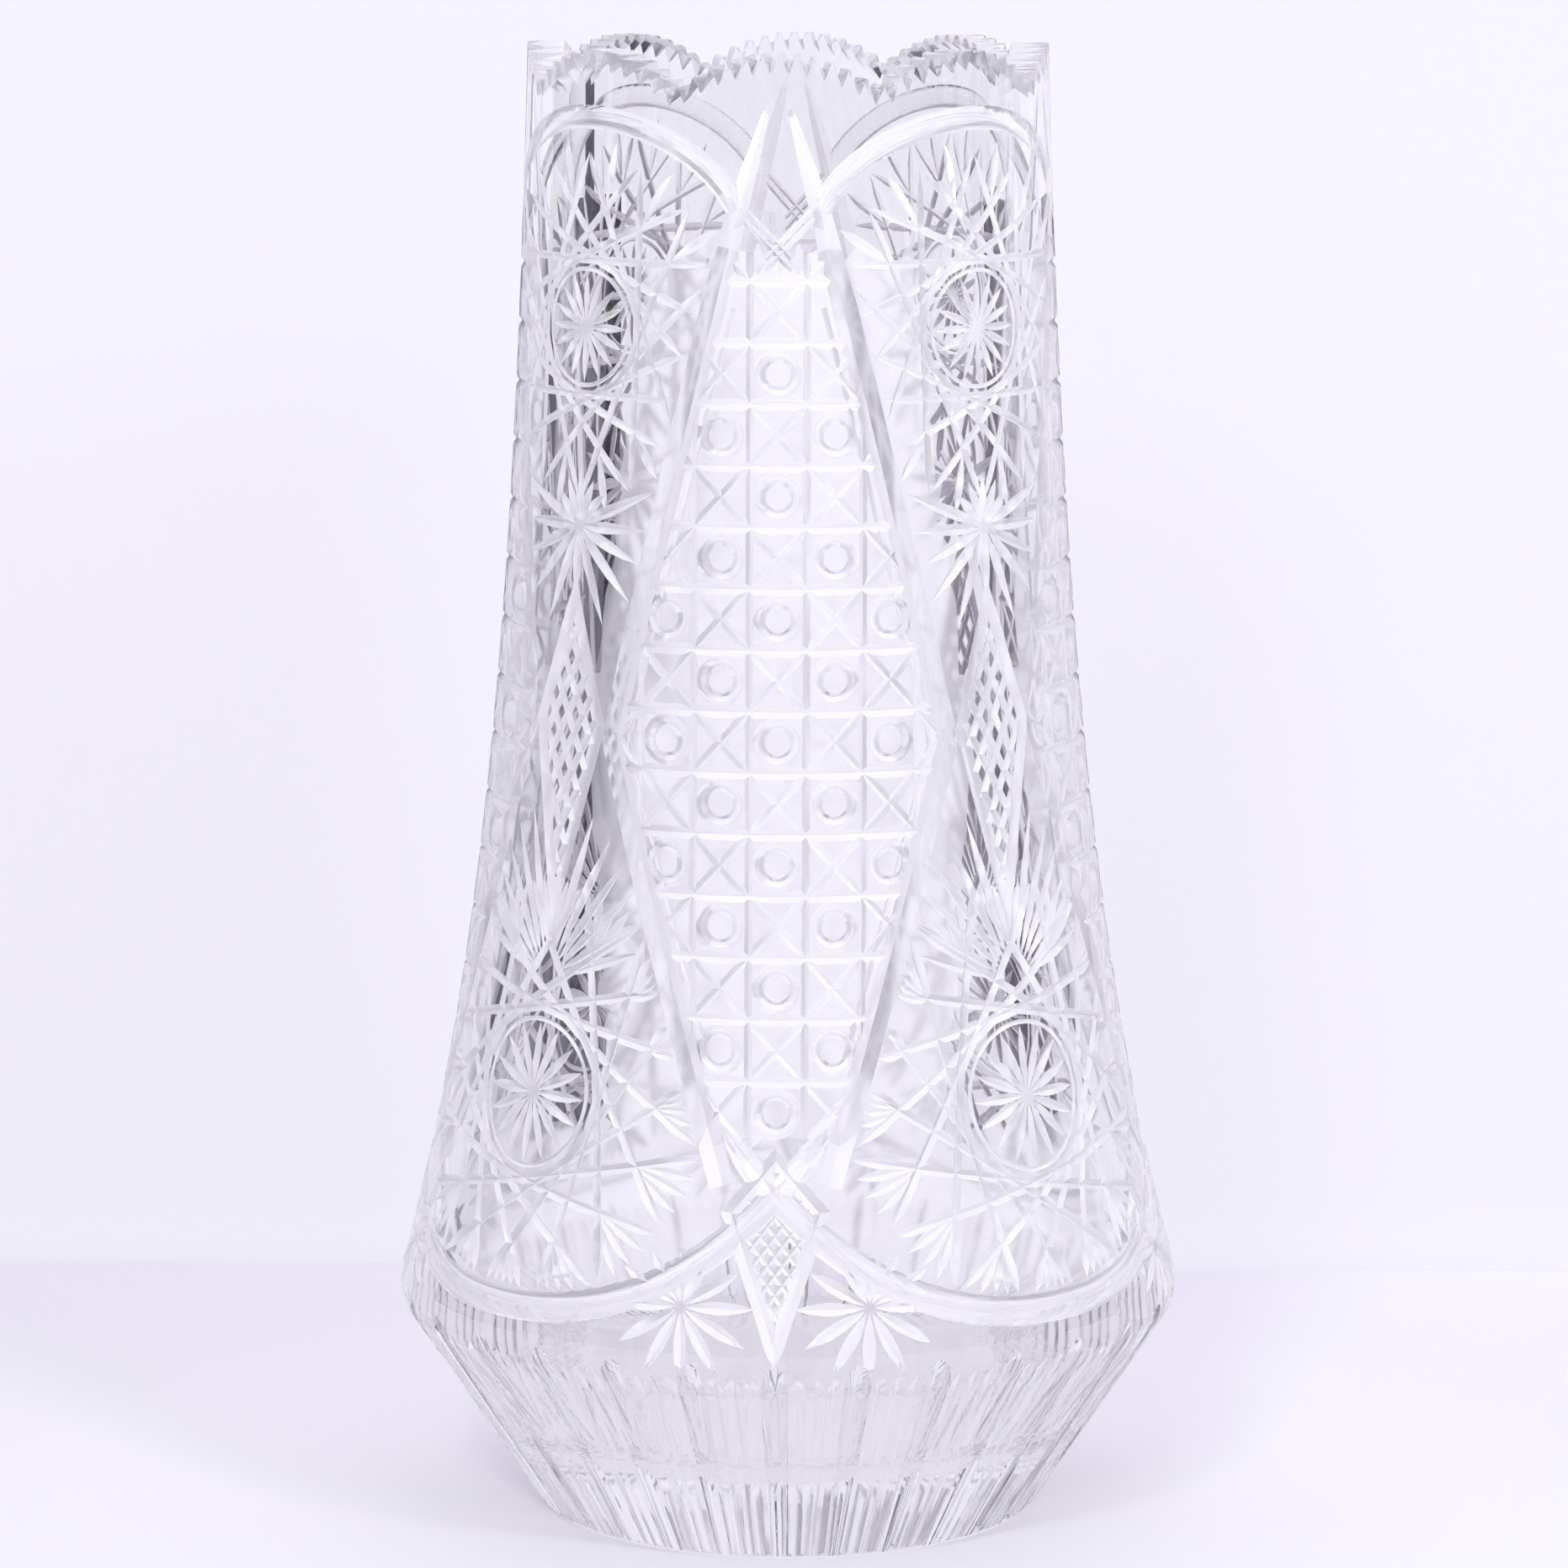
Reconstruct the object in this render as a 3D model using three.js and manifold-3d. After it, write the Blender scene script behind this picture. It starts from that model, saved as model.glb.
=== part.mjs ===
// Tall vase of thick clear glass, moulded in the manner of cut crystal.
// The body is turned from one closed profile and then cut as a glass cutter's wheel would cut it:
// every groove is a V or a hollow carried over the curved wall. Millimetres, +Z up, origin under the foot.
// Four panels of round buttons face the front, the back and the sides, and four star panels lie between.

import * as THREE from 'three';
import { mergeVertices } from 'three/addons/utils/BufferGeometryUtils.js';
import Module from 'manifold-3d';

const wasm = await Module();
wasm.setup();

// Body, outside
const HEIGHT = 300;
const FOOT_RADIUS = 50.8; // where the line of the lower taper would meet the table
const FOOT_ROUNDING = 5;
const SHOULDER_RADIUS = 81.1; // the corner before it is rounded
const SHOULDER_HEIGHT = 45.3;
const SHOULDER_ROUNDING = 12;
const RIM_RADIUS = 52.3;
const WALL_FALLOFF = 110; // height over which the widening of the wall shrinks to 1/e

// Body, inside
const RIM_WALL = 7.2;
const BELLY_WALL = 10.6;
const BELLY_RISE = 3; // how far the inner belly's corner lies above the shoulder
const FLOOR_HEIGHT = 20;
const FLOOR_RADIUS = 51;
const FLOOR_ROUNDING = 14;
const BELLY_ROUNDING = 22;

// Rim
const SCALLOPS = 8;
const SCALLOP_RISE = 7;
const TEETH_PER_SCALLOP = 12;
const NOTCH_OUTSIDE = 3.6; // the notches between teeth slope down to the outside
const NOTCH_INSIDE = 1.2;

// Flutes of the lower taper
const WIDE_FLUTES = 30;
const WIDE_FLUTE_WIDTH = 5.6; // at the shoulder, and narrower in proportion towards the foot
const WIDE_FLUTE_DEPTH = 1.4;
const NARROW_PER_GAP = 3;
const NARROW_FLUTE_DEPTH = 1.05;
const CREST_DEPTH = 0.45; // how far the edges between flutes lie under the blank's surface

// Panels
const PANELS = 4;
const MITRE_SLOPE = 1.35; // half width of a mitre cut for each millimetre of its depth
const BORDER_DEPTH = 1.8;
const PANEL_TOP = 270; // where the arches meet the borders
const PANEL_TOP_HALF_WIDTH = 8;
const PANEL_WAIST = 166; // where a button panel is widest
const PANEL_WAIST_HALF_WIDTH = 35;
const PANEL_FOOT = 81; // where the borders meet the swags
const PANEL_FOOT_HALF_WIDTH = 10.5;
const PALM_TIP = 291.5;
const PALM_TIP_OFFSET = 1.6;

// Chequer of the button panels: raised squares for the buttons, and sunk ones between them
const BUTTON_ACROSS = 11.2; // from the middle line of one column of buttons to the next
const BUTTON_UP = 11.93;
const BUTTON_TOP_ROW = 238.3;
const BUTTON_ROWS = 13;
const BUTTON_COLUMNS = 3; // on either side of the middle line
const SQUARE_SHARE = 0.84; // size of a sunk square, as a share of its place in the chequer
const SQUARE_DEPTH = 1.4;
const SQUARE_CLEAR = 4.5; // least distance from the middle of a sunk square to the keel of a border

// Arches over the star panels and swags under them
const ARCH_TOP = 287;
const ARCH_FULLNESS = 0.94; // 1 would be a half ellipse
const ARCH_WIDTH = 4.6;
const ARCH_DEPTH = 1.1;
const SWAG_LOW = 54;
const SWAG_END = 92; // where a swag runs out, past the crossing with its neighbour
const SWAG_FULLNESS = 2.4; // 2 would be a parabola
const SWAG_WIDTH = 5.2;
const SWAG_DEPTH = 1.2;

// Star panels, from the top down: a star, a burst of rays, a long kite, a fan of leaves and a rosette
const STAR_DEPTH = 1.6;
const STAR_POINTS = 8;
const STAR_CROTCH = 0.45; // where the crotches of a star lie, as a share of the way out to its tips
const TOP_STAR_HEIGHT = 246;
const TOP_STAR_RADIUS = 21;
const BURST_HEIGHT = 207;
const BURST_RADIUS = 14;
const BURST_RAYS = 16;
const RAY_CROTCH = 0.35;
const KITE_DEPTH = 1.3;
const KITE_TOP = 193;
const KITE_WAIST = 168;
const KITE_FOOT = 132;
const KITE_HALF_WIDTH = 8.5;
const FAN_HEIGHT = 118;
const FAN_REACH = 27;
const FAN_LEAVES = 6;
const FAN_SPREAD = 0.87; // half the angle between its outermost leaves, in radians
const FAN_CROTCH = 0.42;
const FAN_BACK = 5; // how far the fan reaches down behind its middle
const ROSETTE_HEIGHT = 95;
const ROSETTE_RADIUS = 27;

// Under the button panels: a small kite with a twelve-rayed star on either side
const SMALL_KITE_TOP = 86; // where two swags cross
const SMALL_KITE_WAIST = 76;
const SMALL_KITE_FOOT = 50.6;
const SMALL_KITE_HALF_WIDTH = 7.3;
const SMALL_STAR_HEIGHT = 57.8;
const SMALL_STAR_OFFSET = 18.7;
const SMALL_STAR_RADIUS = 11.5;
const SMALL_STAR_RAYS = 12;

// Fineness
const TURNS = 32;
const WALL_ROWS = 6;
const INNER_ROWS = 4;
const ARC_STEPS = 2;
const FOOT_STEPS = 1;
const BOW_STEPS = 8; // steps of an arch or a swag from end to end
const STEP = 24; // longest step of a straight cut over the curved wall
const LIFT = 1.5; // how far a cutter stands out of the glass
const STAR_REACH = 1.35; // how far a star's cutter goes out, as a share of the way to the glass
const SKIM = 0.12; // how far a cut's end rises clear of the glass
const LEAST_DEPTH = 0.04; // keeps the keel of a cut's end apart from its flanks
const SAME_SPOT = 1e-5; // corners closer than this are one
const WIDEST_MITRE = 0.3; // cosine past which a bend is not widened any more
const CUTTER_MARGIN = 8; // how far the rim's and the flutes' cutters stand out of the glass

const TURN = 2 * Math.PI;
const QUARTER = TURN / PANELS;

// The wall above the shoulder widens downwards as an exponential curve.
function wallRadius(height) {
  const falloff = (h) => Math.exp(-(h - SHOULDER_HEIGHT) / WALL_FALLOFF);
  const share = (falloff(height) - falloff(HEIGHT)) / (1 - falloff(HEIGHT));
  return RIM_RADIUS + (SHOULDER_RADIUS - RIM_RADIUS) * share;
}

// The arc that rounds the corner between two straight runs, as points from one tangent to the other.
function roundedCorner(before, corner, after, radius, steps) {
  const towards = (point) => point.clone().sub(corner).normalize();
  const first = towards(before);
  const last = towards(after);
  const half = Math.acos(THREE.MathUtils.clamp(first.dot(last), -1, 1)) / 2;
  const middle = first.clone().add(last).normalize();
  const centre = corner.clone().addScaledVector(middle, radius / Math.sin(half));
  const start = corner.clone().addScaledVector(first, radius / Math.tan(half)).sub(centre);
  const end = corner.clone().addScaledVector(last, radius / Math.tan(half)).sub(centre);
  const sweep = Math.atan2(start.cross(end), start.dot(end));
  return Array.from({ length: steps + 1 }, (_, i) =>
    start.clone().rotateAround(new THREE.Vector2(), (sweep * i) / steps).add(centre));
}

const at = (radius, height) => new THREE.Vector2(radius, height);

// Outer profile from the middle of the resting face up to the rim.
function outerProfile(wallRows, arcSteps, footSteps) {
  const foot = at(FOOT_RADIUS, 0);
  const shoulder = at(SHOULDER_RADIUS, SHOULDER_HEIGHT);
  const wallStart = SHOULDER_HEIGHT + SHOULDER_ROUNDING;
  const wall = Array.from({ length: wallRows + 1 }, (_, i) => {
    const height = THREE.MathUtils.lerp(wallStart, HEIGHT, i / wallRows);
    return at(wallRadius(height), height);
  });
  return [
    at(0, 0),
    ...roundedCorner(at(0, 0), foot, shoulder, FOOT_ROUNDING, footSteps),
    ...roundedCorner(foot, shoulder, wall[0], SHOULDER_ROUNDING, arcSteps),
    ...wall,
  ];
}

// Inner profile from the lip down to the middle of the floor: the wall grows thicker towards the belly.
function innerProfile(wallRows, arcSteps) {
  const belly = at(SHOULDER_RADIUS - BELLY_WALL, SHOULDER_HEIGHT + BELLY_RISE);
  const innerRadius = (height) => {
    const share = (HEIGHT - height) / (HEIGHT - SHOULDER_HEIGHT);
    return wallRadius(height) - THREE.MathUtils.lerp(RIM_WALL, BELLY_WALL, share);
  };
  const floor = at(FLOOR_RADIUS, FLOOR_HEIGHT);
  const wallEnd = belly.y + BELLY_ROUNDING;
  const wall = Array.from({ length: wallRows + 1 }, (_, i) => {
    const height = THREE.MathUtils.lerp(HEIGHT, wallEnd, i / wallRows);
    return at(innerRadius(height), height);
  });
  return [
    ...wall,
    ...roundedCorner(wall.at(-1), belly, floor, BELLY_ROUNDING, arcSteps),
    ...roundedCorner(belly, floor, at(0, FLOOR_HEIGHT), FLOOR_ROUNDING, arcSteps),
    at(0, FLOOR_HEIGHT),
  ];
}

const OUTLINE = outerProfile(200, 24, 24);

// Radius of the outside at a height, read off the fine outline.
function outsideRadius(height) {
  const above = OUTLINE.findIndex((point, i) => i > 1 && point.y >= height);
  const high = OUTLINE[above < 0 ? OUTLINE.length - 1 : above];
  const low = OUTLINE[(above < 0 ? OUTLINE.length : above) - 1];
  const share = THREE.MathUtils.clamp((height - low.y) / (high.y - low.y), 0, 1);
  return THREE.MathUtils.lerp(low.x, high.x, share);
}

// A spot on the outside: the point and the direction straight out of the glass there.
function spotOn(azimuth, height) {
  const radius = outsideRadius(height);
  const rise = outsideRadius(height + 1) - outsideRadius(height - 1);
  const out = new THREE.Vector3(Math.sin(azimuth), -Math.cos(azimuth), 0);
  const normal = out.clone().multiplyScalar(2).add(new THREE.Vector3(0, 0, -rise)).normalize();
  return { point: out.multiplyScalar(radius).setZ(height), normal };
}

// A solid for the boolean library, from any closed geometry.
function solidOf(geometry) {
  const bare = geometry.clone();
  bare.deleteAttribute('normal');
  bare.deleteAttribute('uv');
  const merged = mergeVertices(bare, SAME_SPOT);
  const vertProperties = new Float32Array(merged.attributes.position.array);
  const triVerts = new Uint32Array(dropThinTriangles(merged.index.array));
  return new wasm.Manifold(new wasm.Mesh({ numProp: 3, vertProperties, triVerts }));
}

// Triangles that merging has closed up, as at the poles of a turned body, are left out.
function dropThinTriangles(index) {
  const kept = [];
  for (let i = 0; i < index.length; i += 3) {
    const [a, b, c] = [index[i], index[i + 1], index[i + 2]];
    if (a !== b && b !== c && c !== a) kept.push(a, b, c);
  }
  return kept;
}

// Back from a solid to a three.js geometry.
function geometryOf(solid) {
  const mesh = solid.getMesh();
  const geometry = new THREE.BufferGeometry();
  geometry.setAttribute('position', new THREE.BufferAttribute(new Float32Array(mesh.vertProperties), 3));
  geometry.setIndex(new THREE.BufferAttribute(new Uint32Array(mesh.triVerts), 1));
  return geometry;
}

// Stations of a cut are places on the glass with a depth: { azimuth, height, depth }.
// Its keel runs under them, and its flat sides rise from the keel and open as MITRE_SLOPE or slope says.
// At a bend the section is mitred, and where the depth is nothing the keel lies just clear of the glass.
function cut(stations, { slope = MITRE_SLOPE, closed = false } = {}) {
  const spots = stations.map(({ azimuth, height }) => spotOn(azimuth, height));
  const count = stations.length;
  const positions = [];
  stations.forEach(({ depth }, i) => {
    const { point, normal } = spots[i];
    const before = spots[closed ? (i + count - 1) % count : Math.max(i - 1, 0)].point;
    const after = spots[closed ? (i + 1) % count : Math.min(i + 1, count - 1)].point;
    const arriving = point.distanceTo(before) > 0 ? point.clone().sub(before).normalize() : null;
    const leaving = point.distanceTo(after) > 0 ? after.clone().sub(point).normalize() : arriving;
    const along = leaving.clone().add(arriving ?? leaving).normalize();
    const side = new THREE.Vector3().crossVectors(normal, along).normalize();
    const widened = slope / Math.max(along.dot(leaving), WIDEST_MITRE);
    const deep = Math.max(depth, LEAST_DEPTH);
    const place = (across, up) => {
      const spot = point.clone().addScaledVector(side, across).addScaledVector(normal, up + SKIM);
      positions.push(spot.x, spot.y, spot.z);
    };
    place(widened * (deep + LIFT), LIFT);
    place(0, -deep);
    place(-widened * (deep + LIFT), LIFT);
  });
  const index = [];
  for (let i = 0; i < (closed ? count : count - 1); i += 1) {
    const [here, next] = [i * 3, ((i + 1) % count) * 3];
    for (let k = 0; k < 3; k += 1) {
      const other = (k + 1) % 3;
      index.push(here + k, next + k, here + other, here + other, next + k, next + other);
    }
  }
  const last = (count - 1) * 3;
  if (!closed) index.push(0, 1, 2, last, last + 2, last + 1);
  return solidOf(meshOf(positions, index));
}

function meshOf(positions, index) {
  const geometry = new THREE.BufferGeometry();
  geometry.setAttribute('position', new THREE.Float32BufferAttribute(positions, 3));
  geometry.setIndex(index);
  return geometry;
}

// A star cut: rays that share one deep middle. Its corners lie on the glass, round the middle in order,
// the tips of the rays and the crotches between them, and each flat side runs from the middle past two of
// them, far enough that the straight edge between a tip and a crotch stays clear of the curved wall.
function starCut(middle, corners, depth) {
  const { point, normal } = spotOn(middle.azimuth, middle.height);
  const deepest = point.clone().addScaledVector(normal, -depth);
  const above = point.clone().addScaledVector(normal, 2 * LIFT);
  const past = corners.map((corner) => {
    const onGlass = spotOn(corner.azimuth, corner.height).point;
    return deepest.clone().lerp(onGlass, STAR_REACH);
  });
  const positions = [deepest, above, ...past].flatMap((spot) => spot.toArray());
  const index = past.flatMap((_, i) => {
    const [here, next] = [2 + i, 2 + ((i + 1) % past.length)];
    return [0, next, here, 1, here, next];
  });
  return solidOf(meshOf(positions, index));
}

// Corners of an even star: tips at one radius and crotches at a share of it, anticlockwise.
function starCorners(azimuth, height, radius, rays, crotch) {
  return Array.from({ length: 2 * rays }, (_, i) => {
    const angle = (TURN * i) / (2 * rays);
    const reach = i % 2 ? radius * crotch : radius;
    return inPanel(azimuth, reach * Math.sin(angle), height - reach * Math.cos(angle));
  });
}

// A place in a panel: millimetres to the right of the panel's middle line at a height.
const inPanel = (azimuth, across, height) => ({ azimuth: azimuth + across / outsideRadius(height), height });

// A closed ring round the axis: each slice has an azimuth and the corners of its section, anticlockwise.
function ringOf(slices) {
  const size = slices[0].corners.length;
  const positions = slices.flatMap(({ azimuth, corners }) => corners.flatMap(({ x: radius, y: height }) =>
    [Math.sin(azimuth) * radius, -Math.cos(azimuth) * radius, height]));
  const index = slices.flatMap(({ corners }, i) => {
    const [here, next] = [i * size, ((i + 1) % slices.length) * size];
    return corners.flatMap((_, k) => {
      const other = (k + 1) % size;
      return [here + k, next + k, here + other, here + other, next + k, next + other];
    });
  });
  return solidOf(meshOf(positions, index));
}

// The crown that shapes the rim: a ring whose underside follows the scallops and drops into each notch.
function rimCutter() {
  const steps = SCALLOPS * TEETH_PER_SCALLOP * 2;
  const inside = RIM_RADIUS - RIM_WALL;
  const notchDepth = (radius) =>
    THREE.MathUtils.mapLinear(radius, inside, RIM_RADIUS, NOTCH_INSIDE, NOTCH_OUTSIDE);
  const slices = Array.from({ length: steps }, (_, step) => {
    const turns = (step * SCALLOPS) / steps;
    const scallop = HEIGHT - SCALLOP_RISE * (2 * (turns - Math.round(turns))) ** 2;
    const under = (radius) => at(radius, step % 2 ? scallop - notchDepth(radius) : scallop);
    const [inner, outer] = [inside - CUTTER_MARGIN, RIM_RADIUS + CUTTER_MARGIN];
    const above = HEIGHT + CUTTER_MARGIN;
    const corners = [under(inner), under(outer), at(outer, above), at(inner, above)];
    return { azimuth: (TURN * step) / steps, corners };
  });
  return ringOf(slices);
}

// The sleeve that cuts all the flutes: a ring round the lower taper whose inside has their section.
// Every edge of it runs to the apex of the taper's cone, so the flutes narrow evenly towards the foot.
function fluteCutter() {
  const lean = (SHOULDER_RADIUS - FOOT_RADIUS) / SHOULDER_HEIGHT;
  const taperRadius = (height) => FOOT_RADIUS + lean * height;
  const [below, above] = [-CUTTER_MARGIN, SHOULDER_HEIGHT + SHOULDER_ROUNDING];
  const outside = taperRadius(above) + CUTTER_MARGIN;
  return ringOf(fluteSection().map(({ azimuth, share }) => ({
    azimuth,
    corners: [at(taperRadius(below) * share, below), at(outside, below), at(outside, above),
      at(taperRadius(above) * share, above)],
  })));
}

// Section of the flutes, once round: azimuths, and what share of the taper's radius is left at each.
function fluteSection() {
  const pitch = TURN / WIDE_FLUTES;
  const wideHalf = WIDE_FLUTE_WIDTH / SHOULDER_RADIUS / 2;
  const narrow = (pitch - 2 * wideHalf) / NARROW_PER_GAP;
  const crest = 1 - CREST_DEPTH / SHOULDER_RADIUS;
  const wideBottom = 1 - WIDE_FLUTE_DEPTH / SHOULDER_RADIUS;
  const narrowBottom = 1 - NARROW_FLUTE_DEPTH / SHOULDER_RADIUS;
  const section = [];
  for (let i = 0; i < WIDE_FLUTES; i += 1) {
    const middle = i * pitch;
    section.push({ azimuth: middle - wideHalf, share: crest });
    section.push({ azimuth: middle, share: wideBottom });
    for (let k = 0; k < NARROW_PER_GAP; k += 1) {
      section.push({ azimuth: middle + wideHalf + narrow * k, share: crest });
      section.push({ azimuth: middle + wideHalf + narrow * (k + 0.5), share: narrowBottom });
    }
  }
  return section;
}

// A border of a button panel, on its left or right hand, from the tip of the palm above down to the swag.
function border(azimuth, hand) {
  const tip = { ...inPanel(azimuth, hand * PALM_TIP_OFFSET, PALM_TIP), depth: 0 };
  const top = inPanel(azimuth, hand * PANEL_TOP_HALF_WIDTH, PANEL_TOP);
  const waist = inPanel(azimuth, hand * PANEL_WAIST_HALF_WIDTH, PANEL_WAIST);
  const foot = inPanel(azimuth, hand * PANEL_FOOT_HALF_WIDTH, PANEL_FOOT);
  const upper = stationsBetween(top, waist, BORDER_DEPTH);
  const lower = stationsBetween(waist, foot, BORDER_DEPTH);
  return cut([tip, ...upper, ...lower.slice(1)]);
}

// Stations at even steps on the straight line between two places.
function stationsBetween(from, to, depth) {
  const rise = Math.abs(to.height - from.height);
  const run = Math.abs(to.azimuth - from.azimuth) * outsideRadius((from.height + to.height) / 2);
  const count = Math.max(1, Math.ceil(Math.hypot(rise, run) / STEP));
  return Array.from({ length: count + 1 }, (_, i) => ({
    azimuth: THREE.MathUtils.lerp(from.azimuth, to.azimuth, i / count),
    height: THREE.MathUtils.lerp(from.height, to.height, i / count),
    depth,
  }));
}

// A round arch over a star panel, from one border to the next.
function arch(azimuth) {
  const springing = inPanel(0, PANEL_TOP_HALF_WIDTH, PANEL_TOP).azimuth;
  const half = QUARTER / 2 - springing;
  const low = Math.sqrt(1 - ARCH_FULLNESS ** 2);
  const stations = Array.from({ length: BOW_STEPS + 1 }, (_, i) => {
    const share = (2 * i) / BOW_STEPS - 1;
    const rise = Math.sqrt(1 - (ARCH_FULLNESS * share) ** 2);
    return {
      azimuth: azimuth + half * share,
      height: THREE.MathUtils.lerp(PANEL_TOP, ARCH_TOP, (rise - low) / (1 - low)),
      depth: ARCH_DEPTH,
    };
  });
  return cut(stations, { slope: ARCH_WIDTH / ARCH_DEPTH / 2 });
}

// A swag under a star panel: a shallow bow that rises to cross its neighbours over the small kites.
function swag(azimuth) {
  const half = QUARTER / 2 + inPanel(0, PANEL_FOOT_HALF_WIDTH, PANEL_FOOT).azimuth;
  const stations = Array.from({ length: BOW_STEPS + 1 }, (_, i) => {
    const share = (2 * i) / BOW_STEPS - 1;
    return {
      azimuth: azimuth + half * share,
      height: THREE.MathUtils.lerp(SWAG_LOW, SWAG_END, Math.abs(share) ** SWAG_FULLNESS),
      depth: Math.abs(share) < 1 ? SWAG_DEPTH : 0,
    };
  });
  return cut(stations, { slope: SWAG_WIDTH / SWAG_DEPTH / 2 });
}

// Half width of a button panel at a height, to the keels of its borders.
function panelHalfWidth(height) {
  const [end, endHalfWidth] = height > PANEL_WAIST
    ? [PANEL_TOP, PANEL_TOP_HALF_WIDTH]
    : [PANEL_FOOT, PANEL_FOOT_HALF_WIDTH];
  return THREE.MathUtils.mapLinear(height, PANEL_WAIST, end, PANEL_WAIST_HALF_WIDTH, endHalfWidth);
}

// The sunk squares of a button panel. Each is a flat pyramid, so its creases slant from corner to corner.
function sunkSquares(azimuth) {
  const [halfWidth, halfHeight] = [(SQUARE_SHARE * BUTTON_ACROSS) / 2, (SQUARE_SHARE * BUTTON_UP) / 2];
  const cuts = [];
  for (let row = -1; row < BUTTON_ROWS; row += 1) {
    const height = BUTTON_TOP_ROW - BUTTON_UP * row;
    for (let column = -BUTTON_COLUMNS; column <= BUTTON_COLUMNS; column += 1) {
      const across = BUTTON_ACROSS * column;
      const between = (row + column) % 2 !== 0;
      if (!between || Math.abs(across) > panelHalfWidth(height) - SQUARE_CLEAR) continue;
      const corners = [[-1, -1], [1, -1], [1, 1], [-1, 1]].map(([x, y]) =>
        inPanel(azimuth, across + x * halfWidth, height + y * halfHeight));
      cuts.push(starCut(inPanel(azimuth, across, height), corners, SQUARE_DEPTH));
    }
  }
  return cuts;
}

// A kite outlined by one mitre cut.
function kite(azimuth, top, waist, foot, halfWidth) {
  const corners = [
    inPanel(azimuth, 0, top), inPanel(azimuth, halfWidth, waist),
    inPanel(azimuth, 0, foot), inPanel(azimuth, -halfWidth, waist),
  ];
  return cut(corners.map((corner) => ({ ...corner, depth: KITE_DEPTH })), { closed: true, slope: 1 });
}

// The leaves that fan out upwards on either side of the long kite's foot, with crotches close to the middle.
function fan(azimuth) {
  const corners = Array.from({ length: 2 * FAN_LEAVES - 1 }, (_, i) => {
    const angle = FAN_SPREAD * (1 - i / (FAN_LEAVES - 1));
    const radius = i % 2 ? FAN_REACH * FAN_CROTCH : FAN_REACH;
    return inPanel(azimuth, radius * Math.sin(angle), FAN_HEIGHT + radius * Math.cos(angle));
  });
  const back = inPanel(azimuth, 0, FAN_HEIGHT - FAN_BACK);
  return starCut(inPanel(azimuth, 0, FAN_HEIGHT), [...corners, back], STAR_DEPTH);
}

// Every cut of one quarter of the vase, which is a button panel and the star panel to its right.
function quarterCuts(panel) {
  const starPanel = panel + QUARTER / 2;
  const star = (azimuth, height, radius, rays, crotch) =>
    starCut({ azimuth, height }, starCorners(azimuth, height, radius, rays, crotch), STAR_DEPTH);
  const smallStar = (hand) => {
    const { azimuth, height } = inPanel(panel, hand * SMALL_STAR_OFFSET, SMALL_STAR_HEIGHT);
    return star(azimuth, height, SMALL_STAR_RADIUS, SMALL_STAR_RAYS, RAY_CROTCH);
  };
  return [
    border(panel, -1),
    border(panel, 1),
    ...sunkSquares(panel),
    kite(panel, SMALL_KITE_TOP, SMALL_KITE_WAIST, SMALL_KITE_FOOT, SMALL_KITE_HALF_WIDTH),
    smallStar(-1),
    smallStar(1),
    arch(starPanel),
    star(starPanel, TOP_STAR_HEIGHT, TOP_STAR_RADIUS, STAR_POINTS, STAR_CROTCH),
    star(starPanel, BURST_HEIGHT, BURST_RADIUS, BURST_RAYS, RAY_CROTCH),
    kite(starPanel, KITE_TOP, KITE_WAIST, KITE_FOOT, KITE_HALF_WIDTH),
    fan(starPanel),
    star(starPanel, ROSETTE_HEIGHT, ROSETTE_RADIUS, STAR_POINTS, STAR_CROTCH),
    swag(starPanel),
  ];
}

// The blank: one turned body, closed from the middle of the resting face to the middle of the floor.
function blank() {
  const body = new THREE.LatheGeometry(
    [...outerProfile(WALL_ROWS, ARC_STEPS, FOOT_STEPS), ...innerProfile(INNER_ROWS, ARC_STEPS)], TURNS);
  body.rotateX(Math.PI / 2);
  return solidOf(body);
}

function vaseSolid() {
  const cutters = [rimCutter(), fluteCutter()];
  for (let panel = 0; panel < PANELS; panel += 1) cutters.push(...quarterCuts(panel * QUARTER));
  return cutters.reduce((glass, cutter) => glass.subtract(cutter), blank());
}

const clearGlass = new THREE.MeshStandardMaterial({ color: '#f0f1f7', roughness: 0.04, metalness: 0 });
const vase = new THREE.Mesh(geometryOf(vaseSolid()), clearGlass);
vase.name = 'vase';

const model = new THREE.Group();
model.add(vase);

export default model;
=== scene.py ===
# %% [markdown]
# # A moulded glass vase in the manner of cut crystal
# The real vase is one piece of thick clear glass, pressed in a mould that copies the work of a cutter's
# wheel. All that it shows comes from its surface: thousands of small facets that bend the light of the room.
# Painted bumps or sculpting would not give edges crisp enough to sparkle. So each groove is a solid carried
# along a path over the wall, the body is cut by them all, and the material asks only how satin a face is.

# %% Load the frame
import math

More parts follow.
